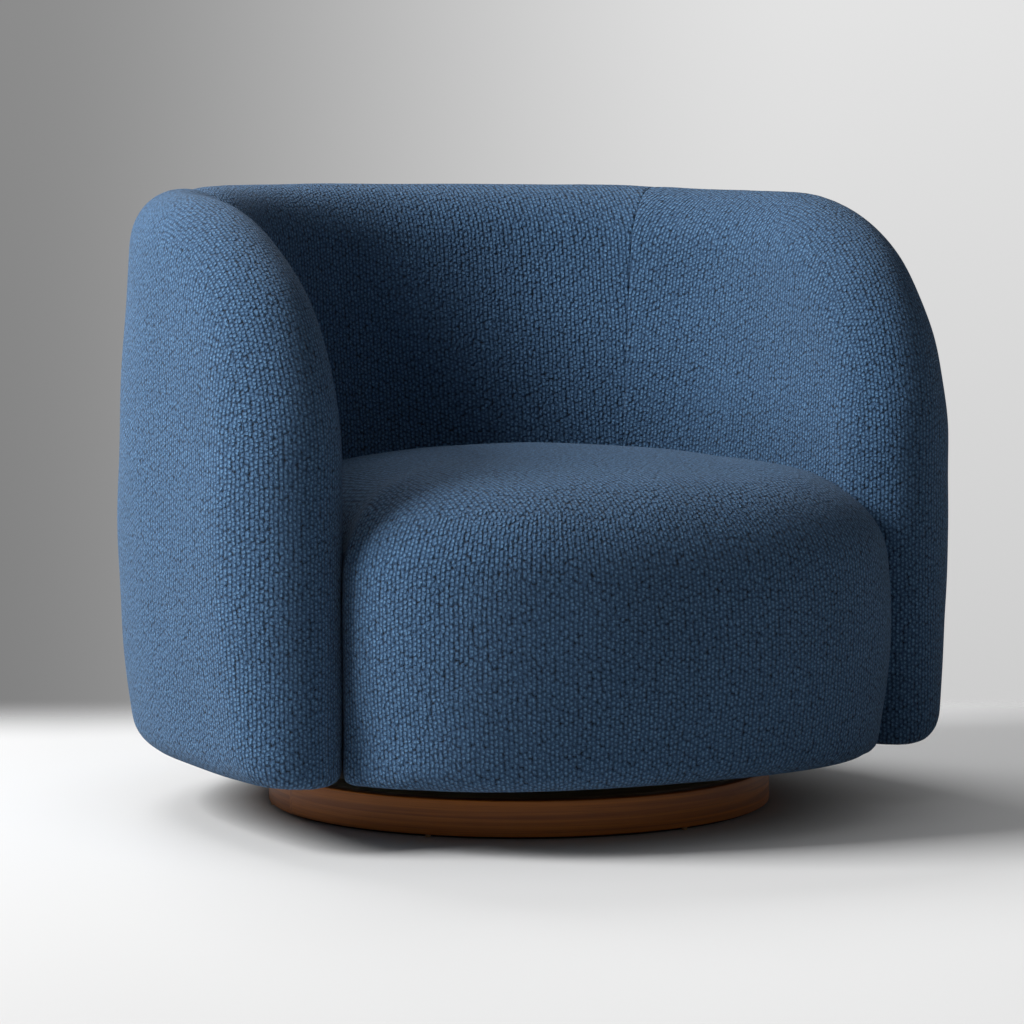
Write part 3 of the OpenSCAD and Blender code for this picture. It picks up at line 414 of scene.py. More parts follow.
def even_mesh(piece: Piece, voxel_mm: float, rounds: int) -> None:
    """Give the piece evenly sized faces and take the steps out of them."""
    finish_with(piece, "REMESH", mode="VOXEL", voxel_size=voxel_mm * MM, adaptivity=0.0)
    finish_with(piece, "SMOOTH", factor=0.5, iterations=rounds)


def shade_smooth(piece: Piece, angle: float | None = None) -> None:
    """Shade the piece smooth, apart from edges sharper than the angle if one is given."""
    only(piece)
    if angle is None:
        bpy.ops.object.shade_smooth()
    else:
        bpy.ops.object.shade_smooth_by_angle(angle=math.radians(angle))


def read(items: bpy.types.bpy_prop_collection, name: str, width: int = 3, kind: type = float) -> Array:
    """Read a property of a mesh's points, edges, corners or faces, one row each."""
    values = np.empty(len(items) * width, kind)
    items.foreach_get(name, values)
    return values.reshape(-1, width)


def points_of(piece: Piece) -> Array:
    """Return the piece's points in millimetres."""
    return read(piece.data.vertices, "co") / MM


def normals_of(piece: Piece) -> Array:
    """Return the piece's point normals."""
    return read(piece.data.vertices, "normal")


def face_centres(piece: Piece) -> Array:
    """Return the middle of each face in millimetres."""
    return read(piece.data.polygons, "center") / MM


def corner_points(piece: Piece) -> Array:
    """Return the point number of each face corner."""
    return read(piece.data.loops, "vertex_index", 1, np.int32)[:, 0]


def edges_of(piece: Piece) -> Array:
    """Return the two point numbers of each edge."""
    return read(piece.data.edges, "vertices", 2, np.int32)


def at_rim(piece: Piece) -> Array:
    """Tell for each point whether it lies on an open edge."""
    edges = edges_of(piece)
    used = np.bincount(read(piece.data.loops, "edge_index", 1, np.int32)[:, 0], minlength=len(edges))
    found = np.zeros(len(piece.data.vertices), bool)
    found[edges[used == 1]] = True
    return found


def move_points(piece: Piece, points: Array) -> None:
    """Put the piece's points at new places, in millimetres."""
    piece.data.vertices.foreach_set("co", (points * MM).ravel())
    piece.data.update()


def keep_faces(piece: Piece, keep: Array) -> None:
    """Delete the faces whose entry in keep is false, and the points that only they used."""
    with editing(piece) as mesh:
        gone = [face for face, kept in zip(mesh.faces, keep) if not kept]
        bmesh.ops.delete(mesh, geom=gone, context="FACES")


def cut_across(mesh: bmesh.types.BMesh, at: Vector | Triple, way: Vector, **settings) -> None:
    """Cut the whole mesh by the plane at a place, square to a way."""
    everything = mesh.verts[:] + mesh.edges[:] + mesh.faces[:]
    bmesh.ops.bisect_plane(mesh, geom=everything, plane_co=at, plane_no=way, **settings)


def even_out(piece: Piece, values: Array, rounds: int) -> Array:
    """Average a value over neighbouring points, again and again.

    Args:
        piece: The piece.
        values: One value for each point.
        rounds: How many times each value moves to the mean of its neighbours and itself.

    Returns:
        The evened values.
    """
    a, b = edges_of(piece).T
    count = 1 + np.bincount(a, minlength=len(values)) + np.bincount(b, minlength=len(values))
    for _ in range(rounds):
        near = np.bincount(a, values[b], len(values)) + np.bincount(b, values[a], len(values))
        values = (values + near) / count
    return values


def write_map(piece: Piece, name: str, flat: Array) -> None:
    """Write a map of the piece, in metres, from one flat place for each point or for each face corner."""
    layer = piece.data.uv_layers.new(name=name)
    if len(flat) != len(piece.data.loops):
        flat = flat[corner_points(piece)]
    layer.data.foreach_set("uv", flat.astype(np.float32).ravel())


def stand_in(piece: Piece, look: Look, body: str, node: str) -> None:
    """Dress a piece and let it take a solid's place.

    Args:
        piece: The piece.
        look: Its finish.
        body: The body it rides on.
        node: The solid it stands for.
    """
    look.value.dress(piece)
    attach(piece, body)
    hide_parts(node)
    log.info("%s stands for %s: %d faces", piece.name, node, len(piece.data.polygons))


# Numbers along lines and surfaces


def rising(value: Array | float, over: float) -> Array:
    """Rise from 0 to 1 as the value goes from 0 to the given one."""
    return np.clip(value / over, 0, 1)


def falling(value: Array | float, over: float) -> Array:
    """Fall from 1 to 0 as the value goes from 0 to the given one."""
    return np.clip(1 - value / over, 0, 1)


def bell(value: Array, wide: float) -> Array:
    """Rise to 1 where the value is 0, and fall off on both sides."""
    return np.exp(-(value / wide) ** 2)


def path_steps(path: Array) -> Array:
    """Return the length of a path up to each of its points."""
    return np.concatenate([[0], np.cumsum(np.linalg.norm(np.diff(path, axis=0), axis=1))])


def along(path: Array, at: Array) -> Array:
    """Return the points of a flat path at lengths from its start."""
    steps = path_steps(path)
    return np.stack([np.interp(at, steps, path[:, k]) for k in (0, 1)], -1)


def ripples(points: Array, seed: int, wave_mm: tuple[float, float], count: int = 14) -> Array:
    """Broad, shallow unevenness of hand-laid padding.

    Args:
        points: Points in millimetres.
        seed: Seed of the unevenness.
        wave_mm: Shortest and longest wave.
        count: Number of waves.

    Returns:
        A height for each point, of about 1.
    """
    random = np.random.default_rng(seed)
    total = np.zeros(len(points))
    for _ in range(count):
        way = random.normal(size=3)
        way /= np.linalg.norm(way)
        total += np.sin(points @ way * TURN / random.uniform(*wave_mm) + random.uniform(0, TURN))
    return total / math.sqrt(count)


# Forms


@dataclass(frozen=True)
class WallForm:
    """The padded wall, which runs from the right arm's front round the back to the left arm's front, in mm.

    A place on it is known by its station along the wall's middle line, its height and its side. An inset of
    more than 0 stands for a layer that lies so far inside the cover's outer face.
    """

    height: float = 712.0
    low: float = 73.0
    radius: float = 392.0
    arc_y: float = -10.0
    arm: float = 250.0
    toe_in: float = 14.0
    thickness: float = 124.0
    edge: float = 66.0
    foot: float = 28.0
    foot_inside: float = 9.0
    swell: float = 20.0
    lean: float = 36.0
    crest_drop: float = 18.0
    crest_angle: float = 63.0
    fall_length: float = 298.0
    fall_height: float = 418.0
    fullness: float = 2.07
    seam_angle: float = 39.0
    lean_height: float = 380.0
    inside_low: float = 94.0
    roll_from: float = 98.0
    roll_over: float = 42.0
    roll_end: float = 292.0
    roll_fade: float = 70.0

    @property
    def length(self) -> float:
        """Length of the wall's middle line."""
        return 2 * self.arm + math.pi * self.radius

    @property
    def front_y(self) -> float:
        """Y of the arms' fronts."""
        return self.arc_y - self.arm

    @property
    def seams(self) -> tuple[float, float]:
        """Stations of the seams between the back and the right and left arm."""
        right = self.arm + math.radians(self.seam_angle) * self.radius
        return right, self.length - right

    def near(self, s: Array) -> Array:
        """Distance of a station from the nearer arm's front."""
        return np.minimum(s, self.length - s)

    def angle(self, s: Array) -> Array:
        """Plan angle of a station about the back's centre, held at the arms' own along the arms."""
        return np.clip((s - self.arm) / self.radius, 0, math.pi)

    def middle(self, s: Array) -> Array:
        """Plan points of the middle line at the stations."""
        a = self.angle(s)
        ahead = np.clip(self.arm - self.near(s), 0, None)
        x = (self.radius - self.toe_in * falling(self.near(s), self.arm) ** 2) * np.cos(a)
        return np.stack([x, self.arc_y + self.radius * np.sin(a) - ahead], -1)

    def outward(self, s: Array) -> Array:
        """Plan directions that point outwards at the stations."""
        a = self.angle(s)
        return np.stack([np.cos(a), np.sin(a)], -1)

    def crest(self, s: Array) -> Array:
        """Height of the crest at the stations, apart from the fall to the arms' fronts."""
        run = self.arm + math.radians(self.crest_angle) * self.radius
        return self.height - self.crest_drop * falling(self.near(s), run)

    def fall(self, s: Array, inset: float) -> Array:
        """Share of the fall's length that is behind a station, 1 at the front."""
        return rising(self.fall_length - self.near(s), self.fall_length - inset)

    def edge_z(self, s: Array, inset: float = 0.0) -> Array:
        """Height of a layer's free edge at the stations."""
        rise = (1 - self.fall(s, inset) ** self.fullness) ** (1 / self.fullness)
        return self.fall_height + (self.crest(s) - inset - self.fall_height) * rise

    def edge_distance(self, s: Array, z: Array, inset: float = 0.0) -> tuple[Array, Array, Array]:
        """Distance of points of the wall's own surface from a layer's free edge.

        Args:
            s: Stations.
            z: Heights.
            inset: The layer's inset.

        Returns:
            The distance, and the direction to the edge along the path and upwards.
        """
        a = self.fall_length - inset
        b = self.crest(s) - inset - self.fall_height
        kx = self.fall(s, inset)
        kz = np.clip((z - self.fall_height) / b, 0, None)
        n = self.fullness
        g = np.maximum((kx ** n + kz ** n) ** (1 / n), 1e-6)
        gs, gz = (kx / g) ** (n - 1) / a, (kz / g) ** (n - 1) / b
        slope = np.maximum(np.hypot(gs, gz), 1e-9)
        distance = np.where(g < 2e-6, 1000.0, np.clip(1 - g, 0, None) / slope)
        return distance, gs / slope, gz / slope

    def offset(self, s: Array, z: Array, side: int, inset: float = 0.0) -> Array:
        """Find how far a layer lies from the middle line.

        Args:
            s: Stations.
            z: Heights.
            side: 1 for the wall's outer side and -1 for its inner one.
            inset: The layer's inset.

        Returns:
            The offsets, outwards.
        """
        distance, _, _ = self.edge_distance(s, z, inset)
        q = rising(distance, self.edge - inset)
        half = (self.thickness / 2 - inset) * np.sqrt(1 - (1 - q) ** 2)
        foot = self.foot if side > 0 else self.foot_inside
        up = rising(z - self.low - inset, foot)
        cut = np.minimum(foot * (1 - np.sqrt(1 - (1 - up) ** 2)), half * 0.9)
        if side > 0:
            pad = self.swell * (np.sin(math.pi * rising(z - self.low, self.height - self.low) ** 0.8) - 0.5)
        else:
            lean = self.lean * rising(self.height - z, self.height - self.lean_height)
            pad = lean * rising(self.near(s), self.fall_length)
        return side * (half - cut + pad * q)

    def points(self, s: Array, z: Array, side: int, inset: float) -> Array:
        """Points of a layer's face at stations and heights."""
        plan = self.middle(s) + self.outward(s) * self.offset(s, z, side, inset)[..., None]
        return np.concatenate([plan, z[..., None]], -1)

    def locate(self, points: Array) -> tuple[Array, Array]:
        """Find the station of points and how far outside the middle line they lie."""
        x, y = points[:, 0], points[:, 1] - self.arc_y
        s_arc, off_arc = self.arm + self.radius * np.arctan2(y, x), np.hypot(x, y) - self.radius
        u = np.clip(self.arm + y, 0, None)
        toe = self.toe_in * falling(u, self.arm) ** 2
        s_arm = np.where(x > 0, u, self.length - u)
        return np.where(y < 0, s_arm, s_arc), np.where(y < 0, np.abs(x) - self.radius + toe, off_arc)

    def weave_map(self, points: Array, origin: float, side: int) -> Array:
        """Lay the wall's cloth flat, so that its columns stand upright and its scale is true.

        Each face is opened out along the wall, and what rounds over the free edge is rolled out past it.

        Args:
            points: Points of the cover, in millimetres.
            origin: Station at which the map's columns start.
            side: The face that is opened out, 1 for the outer and -1 for the inner.

        Returns:
            A flat place for each point, in metres.
        """
        s, off = self.locate(points)
        z = points[:, 2]
        distance, to_s, to_z = self.edge_distance(s, z)
        rise = falling(distance, self.edge)
        past = self.edge * (np.arctan2(rise, side * off / (self.thickness / 2)) - rise) * (rise > 0)
        low = rising(self.low + self.foot - z, self.foot)
        floor_z = np.full_like(s, self.low)
        foot_off = np.where(off > 0, self.offset(s, floor_z, 1), -self.offset(s, floor_z, -1))
        beneath = (z < self.low + 4) * np.clip(foot_off - np.abs(off), 0, None)
        under = self.foot * (np.arcsin(low) - low) + beneath
        run = np.where((s > self.arm) & (s < self.length - self.arm), (self.radius + off) / self.radius, 1.0)
        centre = np.clip(origin, self.arm, self.length - self.arm)
        ahead = np.where(s < self.length / 2, -1.0, 1.0)
        u = (centre - origin) + (s - centre) * run + ahead * past * to_s
        # Both faces give the free edge the same place, so their columns meet there in step
        return np.stack([u, z + past * to_z - under], -1) * MM

    def rim_map(self, points: Array, start: float) -> tuple[Array, Array]:
        """Lay the cloth that rolls over an arm's free edge flat, its columns along the edge.

        Args:
            points: Points of the cover, in millimetres.
            start: Distance from the map's first column to the arm's front.

        Returns:
            A flat place for each point, in metres, and how far each point belongs to the roll, from 0 to 1.
        """
        s, off = self.locate(points)
        distance, to_s, to_z = self.edge_distance(s, points[:, 2])
        quarter = self.edge * (math.pi / 2 - 1)
        rise = falling(distance, self.edge)
        over = self.edge * (math.pi / 2 - np.arctan2(rise, off / (self.thickness / 2)))
        across = np.where(distance < self.edge, over, np.sign(off) * (quarter + distance))
        rim_s, rim_z = self.near(s) - distance * to_s, points[:, 2] + distance * to_z
        run = np.linspace(0, self.length / 2, 900)
        edge = np.stack([np.concatenate([[0], run]), np.concatenate([[self.low], self.edge_z(run)])], -1)
        up = self.low + np.interp(rim_s + rim_z - self.low, edge.sum(1) - self.low, path_steps(edge))
        u = start + across - quarter
        share = rising(self.roll_from - np.abs(across), self.roll_over)
        share = share * rising(self.roll_end - rim_s, self.roll_fade)
        return np.stack([np.where(s < self.length / 2, u, -u), up], -1) * MM, share


@dataclass(frozen=True)
class SeatForm:
    """The crowned seat block, bowed before the arms and fitted between them, in mm."""

    wall: WallForm
    past: float = 162.0
    half_width: float = 333.0
    bow_depth: float = 207.0
    bow_fullness: float = 2.5
    rim: float = 392.0
    top_radius: float = 95.0
    foot: float = 24.0
    swell: float = 14.0
    plan_radius: float = 330.0
    centre_share: float = 0.985
    roll_angle: float = 80.0
    gap: float = 1.5
    hem: float = 20.0
    beside: float = 16.0
    square_ahead: float = 90.0
    swell_ahead: float = 25.0
    bow_angle: float = 81.0
    top_start: float = 29.0
    top_below: float = 42.0
    top_over: float = 26.0

    @property
    def front_y(self) -> float:
        """Y of the seat's front."""
        return self.wall.front_y - self.past

    @property
    def roll_z(self) -> float:
        """Height at which the top edge starts to roll."""
        return self.rim - self.top_radius

    def arm_face(self, y: Array) -> Array:
        """X of the arm's inner face beside the seat."""
        s = np.clip(y - self.wall.front_y, 0, self.wall.arm)
        inner = self.wall.offset(s, np.full_like(s, self.wall.lean_height), -1)
        return self.wall.middle(s)[:, 0] + inner - self.gap

    def back_radius(self, angle: Array) -> Array:
        """Radius of the back's inner face about the back's centre, less the gap."""
        s = self.wall.arm + self.wall.radius * angle
        return self.wall.radius + self.wall.offset(s, np.full_like(s, self.wall.lean_height), -1) - self.gap

    def plan(self, count: int = 260) -> Array:
        """Plan outline, anticlockwise from the front's centre, with evenly spaced points."""
        b = np.radians(np.linspace(0, self.bow_angle, 120))
        bow_y = self.front_y + self.bow_depth
        bow = np.stack([self.half_width * np.sin(b) ** (2 / self.bow_fullness),
                        bow_y - self.bow_depth * np.cos(b) ** (2 / self.bow_fullness)], -1)
        y = np.linspace(self.wall.front_y + self.beside, self.wall.arc_y, 60)
        ahead = rising(bow_y - y, self.bow_depth)
        wide = self.half_width * (1 - ahead ** self.bow_fullness) ** (1 / self.bow_fullness)
        sides = np.stack([np.minimum(wide, self.arm_face(y)), y], -1)
        a = np.linspace(0.02, math.pi / 2, 80)
        r = self.back_radius(a)
        half = np.concatenate([bow, sides, np.stack([r * np.cos(a), self.wall.arc_y + r * np.sin(a)], -1)])
        loop = np.concatenate([half, half[-2:0:-1] * (-1, 1), half[:1]])
        loop = along(loop, np.linspace(0, path_steps(loop)[-1], count, endpoint=False))
        for _ in range(3):
            loop = (np.roll(loop, 1, 0) + 2 * loop + np.roll(loop, -1, 0)) / 4
        return loop

    @property
    def centre(self) -> Array:
        """Plan point that the outline shrinks towards."""
        back = self.wall.arc_y + float(self.back_radius(np.array([math.pi / 2]))[0])
        return np.array([0, (back + self.front_y) / 2])

    def turned(self, points: Array) -> tuple[Array, Array, Array]:
        """Find where points lie round the outline.

        Args:
            points: Points in millimetres.

        Returns:
            The outline, the angle of each of its points about its centre, and the angle of each given point.
        """
        plan, centre = self.plan(720), self.centre
        plan = np.concatenate([plan, plan[:1]])
        angles = np.unwrap(np.arctan2(*(plan - centre).T[::-1]))
        a = np.arctan2(points[:, 1] - centre[1], points[:, 0])
        return plan, angles, np.where(a < angles[0] - 1e-6, a + TURN, a)

    def ring(self, plan: Array, inset: Array | float, z: float) -> Array:
        """Points of the outline, drawn in towards the centre by about the inset, at a height."""
        share = 1 - np.broadcast_to(inset, len(plan)) / self.plan_radius
        flat = self.centre + (plan - self.centre) * share[:, None]
        return np.concatenate([flat, np.full((len(plan), 1), z)], 1)

    def rings(self, inset: float) -> list[tuple[float, float]]:
        """Insets and heights of the block's rings, from its foot to near the crown's centre."""
        z0, foot, reach = self.wall.low, self.foot - inset, self.top_radius - inset
        rings = [(inset + foot * (1 - math.sin(a)), z0 + inset + foot * (1 - math.cos(a)))
                 for a in np.radians(np.linspace(0, 90, 9))]
        rings += [(inset, z) for z in np.linspace(z0 + self.foot, self.roll_z, 24)[1:-1]]
        rings += [(self.top_radius - reach * math.cos(a), self.roll_z + reach * math.sin(a))
                  for a in np.radians(np.linspace(0, self.roll_angle, 24))]
        start, rise = rings[-1]
        wide = self.plan_radius - start
        slope = math.tan(math.radians(90 - self.roll_angle))
        return rings + [(start + wide * t, rise + wide * slope * (t - t * t / 2))
                        for t in np.linspace(0, self.centre_share, 40)[1:]]

    def ring_points(self, plan: Array, across: float, z: float, inset: float) -> Array:
        """Points of one ring round the block, swelled before the arms and square of foot beside them."""
        ahead = self.wall.front_y + self.beside - plan[:, 1]
        rise = rising(z - self.wall.low, self.rim - self.wall.low)
        out = self.swell * rising(ahead, self.swell_ahead) * (np.sin(math.pi * rise) - 1)
        if z < self.roll_z:
            across = np.maximum(inset, across - self.foot * (1 - rising(ahead, self.square_ahead)))
        return self.ring(plan, across - out, z)

    def solid(self, name: str, inset: float) -> Piece:
        """Loft the block as a closed solid, its skin so far inside the cover's outer face."""
        plan = self.plan()
        return loft(name, np.stack([self.ring_points(plan, *ring, inset) for ring in self.rings(inset)]))

    def weave_maps(self, points: Array) -> tuple[Array, Array, Array]:
        """Lay the seat's cloth flat in two panels: the band that runs round the block, and the top.

        Args:
            points: Points of the cover, in millimetres.

        Returns:
            The band's map and the top panel's map, in metres, and each point's share of the top panel.
        """
        plan, angles, a = self.turned(points)
        steps, z = path_steps(plan), points[:, 2]
        round_it = np.interp(a, angles, steps)
        round_it = np.where(a > angles[0] + math.pi, round_it - steps[-1], round_it)
        up = rising(z - self.roll_z, self.top_radius)
        rolled = np.where(z > self.roll_z, self.roll_z + self.top_radius * np.arcsin(up), z)
        low = rising(self.wall.low + self.foot - z, self.foot)
        band = np.stack([round_it, rolled - self.foot * (np.arcsin(low) - low)], -1)
        turn = self.roll_z + self.top_radius * math.asin(1 - self.top_start / self.top_radius)
        top = np.stack([points[:, 0], points[:, 1] - self.front_y - self.top_radius + turn], -1)
        return band * MM, top * MM, rising(z - (self.rim - self.top_below), self.top_over)


# Upholstery


@dataclass(frozen=True)
class Seams:
    """How the wall's right and left seam press in, and how far each pulls down the crest beside it."""

    form: WallForm
    deep_mm: tuple[float, float]
    wide_mm: float
    pulls_mm: tuple[float, float] = (0.0, 6.0)
    pull_wide_mm: float = 26.0
    pull_from_mm: float = 150.0
    pull_over_mm: float = 120.0

    def press(self, points: Array, s: Array) -> Array:
        """Return how far each point at its station is pressed in, below 0 for inwards."""
        press = np.zeros(len(points))
        upper = rising(points[:, 2] - self.form.height + self.pull_from_mm, self.pull_over_mm)
        for seam, deep, pull in zip(self.form.seams, self.deep_mm, self.pulls_mm):
            press -= deep * bell(s - seam, self.wide_mm)
            press -= pull * upper * bell(s - seam, self.pull_wide_mm)
        return press


@dataclass
class Upholstery:
    """What the covers share: how fine their mesh is, and how the cloth settles over its foam."""

    voxel_mm: float = 6.0
    start_in_mm: float = 2.0
    lift_mm: tuple[float, float] = (-1.2, 2.2)
    lift_rounds: int = 60
    pressure: float = 4.0
    steps: int = 20
    quality: int = 3
    mass: float = 0.35
    stretch: float = 25.0
    shear: float = 10.0
    bend: float = 2.0
    cloth_mm: float = 2.0
    hem_hold_mm: tuple[float, float] = (6.0, 22.0)
    under_mm: float = 2.5
    foot_drop_mm: float = 3.0
    foot_reach_mm: float = 45.0
    fill: float = 0.85

    def hem(self, above: Array) -> Array:
        """How firmly points are held at so many millimetres above their hem."""
        start, over = self.hem_hold_mm
        return falling(above - start, over)

    def settle(self, piece: Piece, held: Array) -> None:
        """Let the cloth swell over its foam, held at seams and hems, and keep what it does across its face.

        Args:
            piece: The cover, as an open sheet.
            held: How firmly each point is held, from 0 to 1.
        """
        start, outward = points_of(piece), normals_of(piece)
        lift = np.zeros(len(start))
        lift = ((self.swollen(piece, held) - start) * outward).sum(1)
        log.info("%s swelled %.1f mm, from %.1f to %.1f mm", piece.name, np.median(lift),
                 *np.percentile(lift, (2, 98)))
        lift = even_out(piece, np.clip(lift - np.median(lift), *self.lift_mm), self.lift_rounds)
        move_points(piece, start + outward * (lift + self.start_in_mm)[:, None])
        finish_with(piece, "SMOOTH", factor=0.5, iterations=3)

    def swollen(self, piece: Piece, held: Array) -> Array:
        """Run the cloth under pressure, and return where its points come to rest."""
        scene = bpy.context.scene
        group = piece.vertex_groups.new(name="held")
        for step in np.unique(np.round(held, 1))[1:]:
            group.add([int(i) for i in np.flatnonzero(np.round(held, 1) == step)], float(step), "REPLACE")
        cloth = piece.modifiers.new("cloth", "CLOTH")
        rules = cloth.settings
        rules.quality = self.quality
        rules.mass = self.mass
        rules.tension_stiffness = rules.compression_stiffness = self.stretch
        rules.shear_stiffness = self.shear
        rules.bending_stiffness = self.bend
        rules.vertex_group_mass = "held"
        rules.use_pressure = True
        rules.uniform_pressure_force = self.pressure
        rules.effector_weights.gravity = 0.0
        cloth.point_cache.frame_start, cloth.point_cache.frame_end = 1, self.steps
        for step in range(1, self.steps + 1):
            scene.frame_set(step)
        settled = piece.evaluated_get(bpy.context.evaluated_depsgraph_get())
        moved = points_of(settled)
        piece.modifiers.remove(cloth)
        piece.vertex_groups.clear()
        scene.frame_set(1)
        return moved

    def drop_foot(self, points: Array, low: float, start: Array) -> None:
        """Let the cloth hang a little below its foot, by where its points were at the start."""
        reach = self.foot_reach_mm
        points[:, 2] -= self.foot_drop_mm * rising(low + reach - start[:, 2], reach) ** 2

    def sew(self, piece: Piece, node: str, band: Array, top: Array, share: Array) -> None:
        """Map a cover, turn its sheet into cloth of its real thickness, and let it take its solid's place.

        Args:
            piece: The cover, as an open sheet.
            node: The solid it stands for.
            band: Its map, for each point or each face corner.
            top: Its map where it rolls over its edge, for each point.
            share: How far each point belongs to the roll.
        """
        write_map(piece, "weave", band)
        write_map(piece, "weave_top", top)
        piece.data.attributes.new("top_share", "FLOAT", "POINT").data.foreach_set("value", share)
        finish_with(piece, "SOLIDIFY", thickness=self.cloth_mm * MM, offset=-1.0, use_rim=True)
        shade_smooth(piece)
        stand_in(piece, Look.WEAVE, "seat", node)


@dataclass
class WallCovers:
    """The three covers of the padded wall: one on the back and one on each arm."""

    form: WallForm
    work: Upholstery
    nose_mm: float = 41.0
    nose_round_mm: float = 66.0
    knee_mm: float = 80.0
    hem_mm: float = 20.0
    seam_gap_mm: float = 0.1
    seam_deep_mm: tuple[float, float] = (0.4, 1.4)
    seam_wide_mm: float = 6.0
    seam_hold_mm: tuple[float, float] = (4.0, 14.0)
    wave_high_mm: float = 0.7
    wave_long_mm: tuple[float, float] = (90.0, 260.0)
    wave_over_mm: float = 30.0

    def section(self, s: float, inset: float) -> Array:
        """One closed section through the wall, up its inner face and down its outer one."""
        form = self.form
        top = float(form.edge_z(np.array([s]), inset)[0]) - 0.02
        low = form.low + inset
        knee = max(low + form.foot + 1, top - self.knee_mm)
        rows = np.concatenate([
            low + form.foot * (1 - np.cos(np.linspace(0, math.pi / 2, 7)))[:-1],
            np.linspace(low + form.foot, knee, 56)[:-1],
            top - (top - knee) * (1 - np.sin(np.linspace(0, math.pi / 2, 26))),
        ])
        inner, outer = (form.points(np.full_like(rows, s), rows, side, inset) for side in (-1, 1))
        return np.concatenate([inner, outer[::-1]])

    def stations(self, first: float, last: float, front: bool) -> Array:
        """Stations along the wall, crowded where an arm's front rounds off."""
        if not front:
            return np.linspace(first, last, 120)
        nose = self.nose_round_mm * (1 - np.cos(np.linspace(0, math.pi / 2, 24)))
        return np.concatenate([first + nose[:-1], np.linspace(first + self.nose_round_mm, last, 72)])

    def sheet(self, name: str, first: float, last: float, front: bool) -> Piece:
        """Make one cover's sheet: its outer skin and its hems, cut off at its seams.

        Args:
            name: The cover's name.
            first: Station where it starts.
            last: Station of the seam where it ends.
            front: Whether it starts at an arm's front, and not at a seam.

        Returns:
            The cover, as an open sheet.
        """
        form, inset = self.form, self.work.start_in_mm
        over = 3 * self.work.voxel_mm
        stations = self.stations(first + (inset if front else -over), last + over, front)
        piece = loft(name, np.stack([self.section(s, inset) for s in stations]))
        even_mesh(piece, self.work.voxel_mm, 6)
        self.trim(piece, last, 1)
        if not front:
            self.trim(piece, first, -1)
        centres = face_centres(piece)
        s, off = form.locate(centres)
        z = centres[:, 2]
        low = np.full_like(s, form.low + inset)
        foot = np.where(off > 0, form.offset(s, low, 1, inset), -form.offset(s, low, -1, inset))
        under = (z < form.low + inset + self.work.under_mm) & (np.abs(off) < foot - self.hem_mm)
        inside = (off <= 0) & (z < form.inside_low) & (form.near(s) > self.nose_mm)
        keep_faces(piece, ~(under | inside))
        return piece

    def trim(self, piece: Piece, station: float, way: int) -> None:
        """Cut the cover off at a seam, square to the wall.

        Args:
            piece: The cover.
            station: Station of the seam.
            way: 1 where what lies past the station goes, and -1 where what lies before it goes.
        """
        x, y = self.form.outward(np.array([station]))[0]
        centre, past = (0, self.form.arc_y * MM, 0), Vector((-y, x, 0)) * way
        with editing(piece) as mesh:
            cut_across(mesh, centre, past, dist=1e-5, clear_outer=True)

    def seam_gap(self, s: Array, seams: tuple[float, ...]) -> Array:
        """Distance of stations from the nearest seam."""
        return np.min([np.abs(s - seam) for seam in seams], axis=0)

    def held(self, piece: Piece, seams: tuple[float, ...]) -> Array:
        """How firmly each point is held: wholly at seams and hems, and less and less away from them."""
        form, points = self.form, points_of(piece)
        s, off = form.locate(points)
        low = points[:, 2] - np.where((off < 0) & (form.near(s) > self.nose_mm), form.inside_low, form.low)
        start, over = self.seam_hold_mm
        return np.maximum(falling(self.seam_gap(s, seams) - start, over), self.work.hem(low))

    def finish(self, piece: Piece, node: str, origin: float, seams: tuple[float, ...], seed: int) -> None:
        """Press in the seams, add the padding's unevenness, and map and sew the cover.

        Args:
            piece: The cover, settled.
            node: The solid it stands for.
            origin: Station at which its map's columns start.
            seams: Stations of its seams.
            seed: Seed of its unevenness.
        """
        form, points = self.form, points_of(piece)
        s, _ = form.locate(points)
        # The left seam is sewn tighter than the right one, most of all over the crest
        press = Seams(form, self.seam_deep_mm, self.seam_wide_mm).press(points, s)
        wave = self.wave_high_mm * ripples(points, seed, self.wave_long_mm)
        wave = wave * rising(self.seam_gap(s, seams), self.wave_over_mm)
        moved = points + normals_of(piece) * (press + wave)[:, None]
        self.work.drop_foot(moved, form.low, points)
        move_points(piece, self.joined(piece, moved, seams))
        _, middle_off = form.locate(face_centres(piece))
        sides = np.repeat(middle_off > 0, [len(face.vertices) for face in piece.data.polygons])
        corners = corner_points(piece)
        outer, inner = (form.weave_map(points, origin, side)[corners] for side in (1, -1))
        top, share = form.rim_map(points, -origin if origin < form.length / 2 else origin - form.length)
        self.work.sew(piece, node, np.where(sides[:, None], outer, inner), top, share)

    def joined(self, piece: Piece, points: Array, seams: tuple[float, ...]) -> Array:
        """Bring the points of a cover's cut edges up to its seams."""
        s, _ = self.form.locate(points)
        outward = self.form.outward(s)
        rim = at_rim(piece)
        for seam in seams:
            near = rim & (np.abs(s - seam) < 2 * self.work.voxel_mm)
            shift = np.where(near, seam + np.sign(s - seam) * self.seam_gap_mm - s, 0)
            points[:, 0] -= outward[:, 1] * shift
            points[:, 1] += outward[:, 0] * shift
        return points

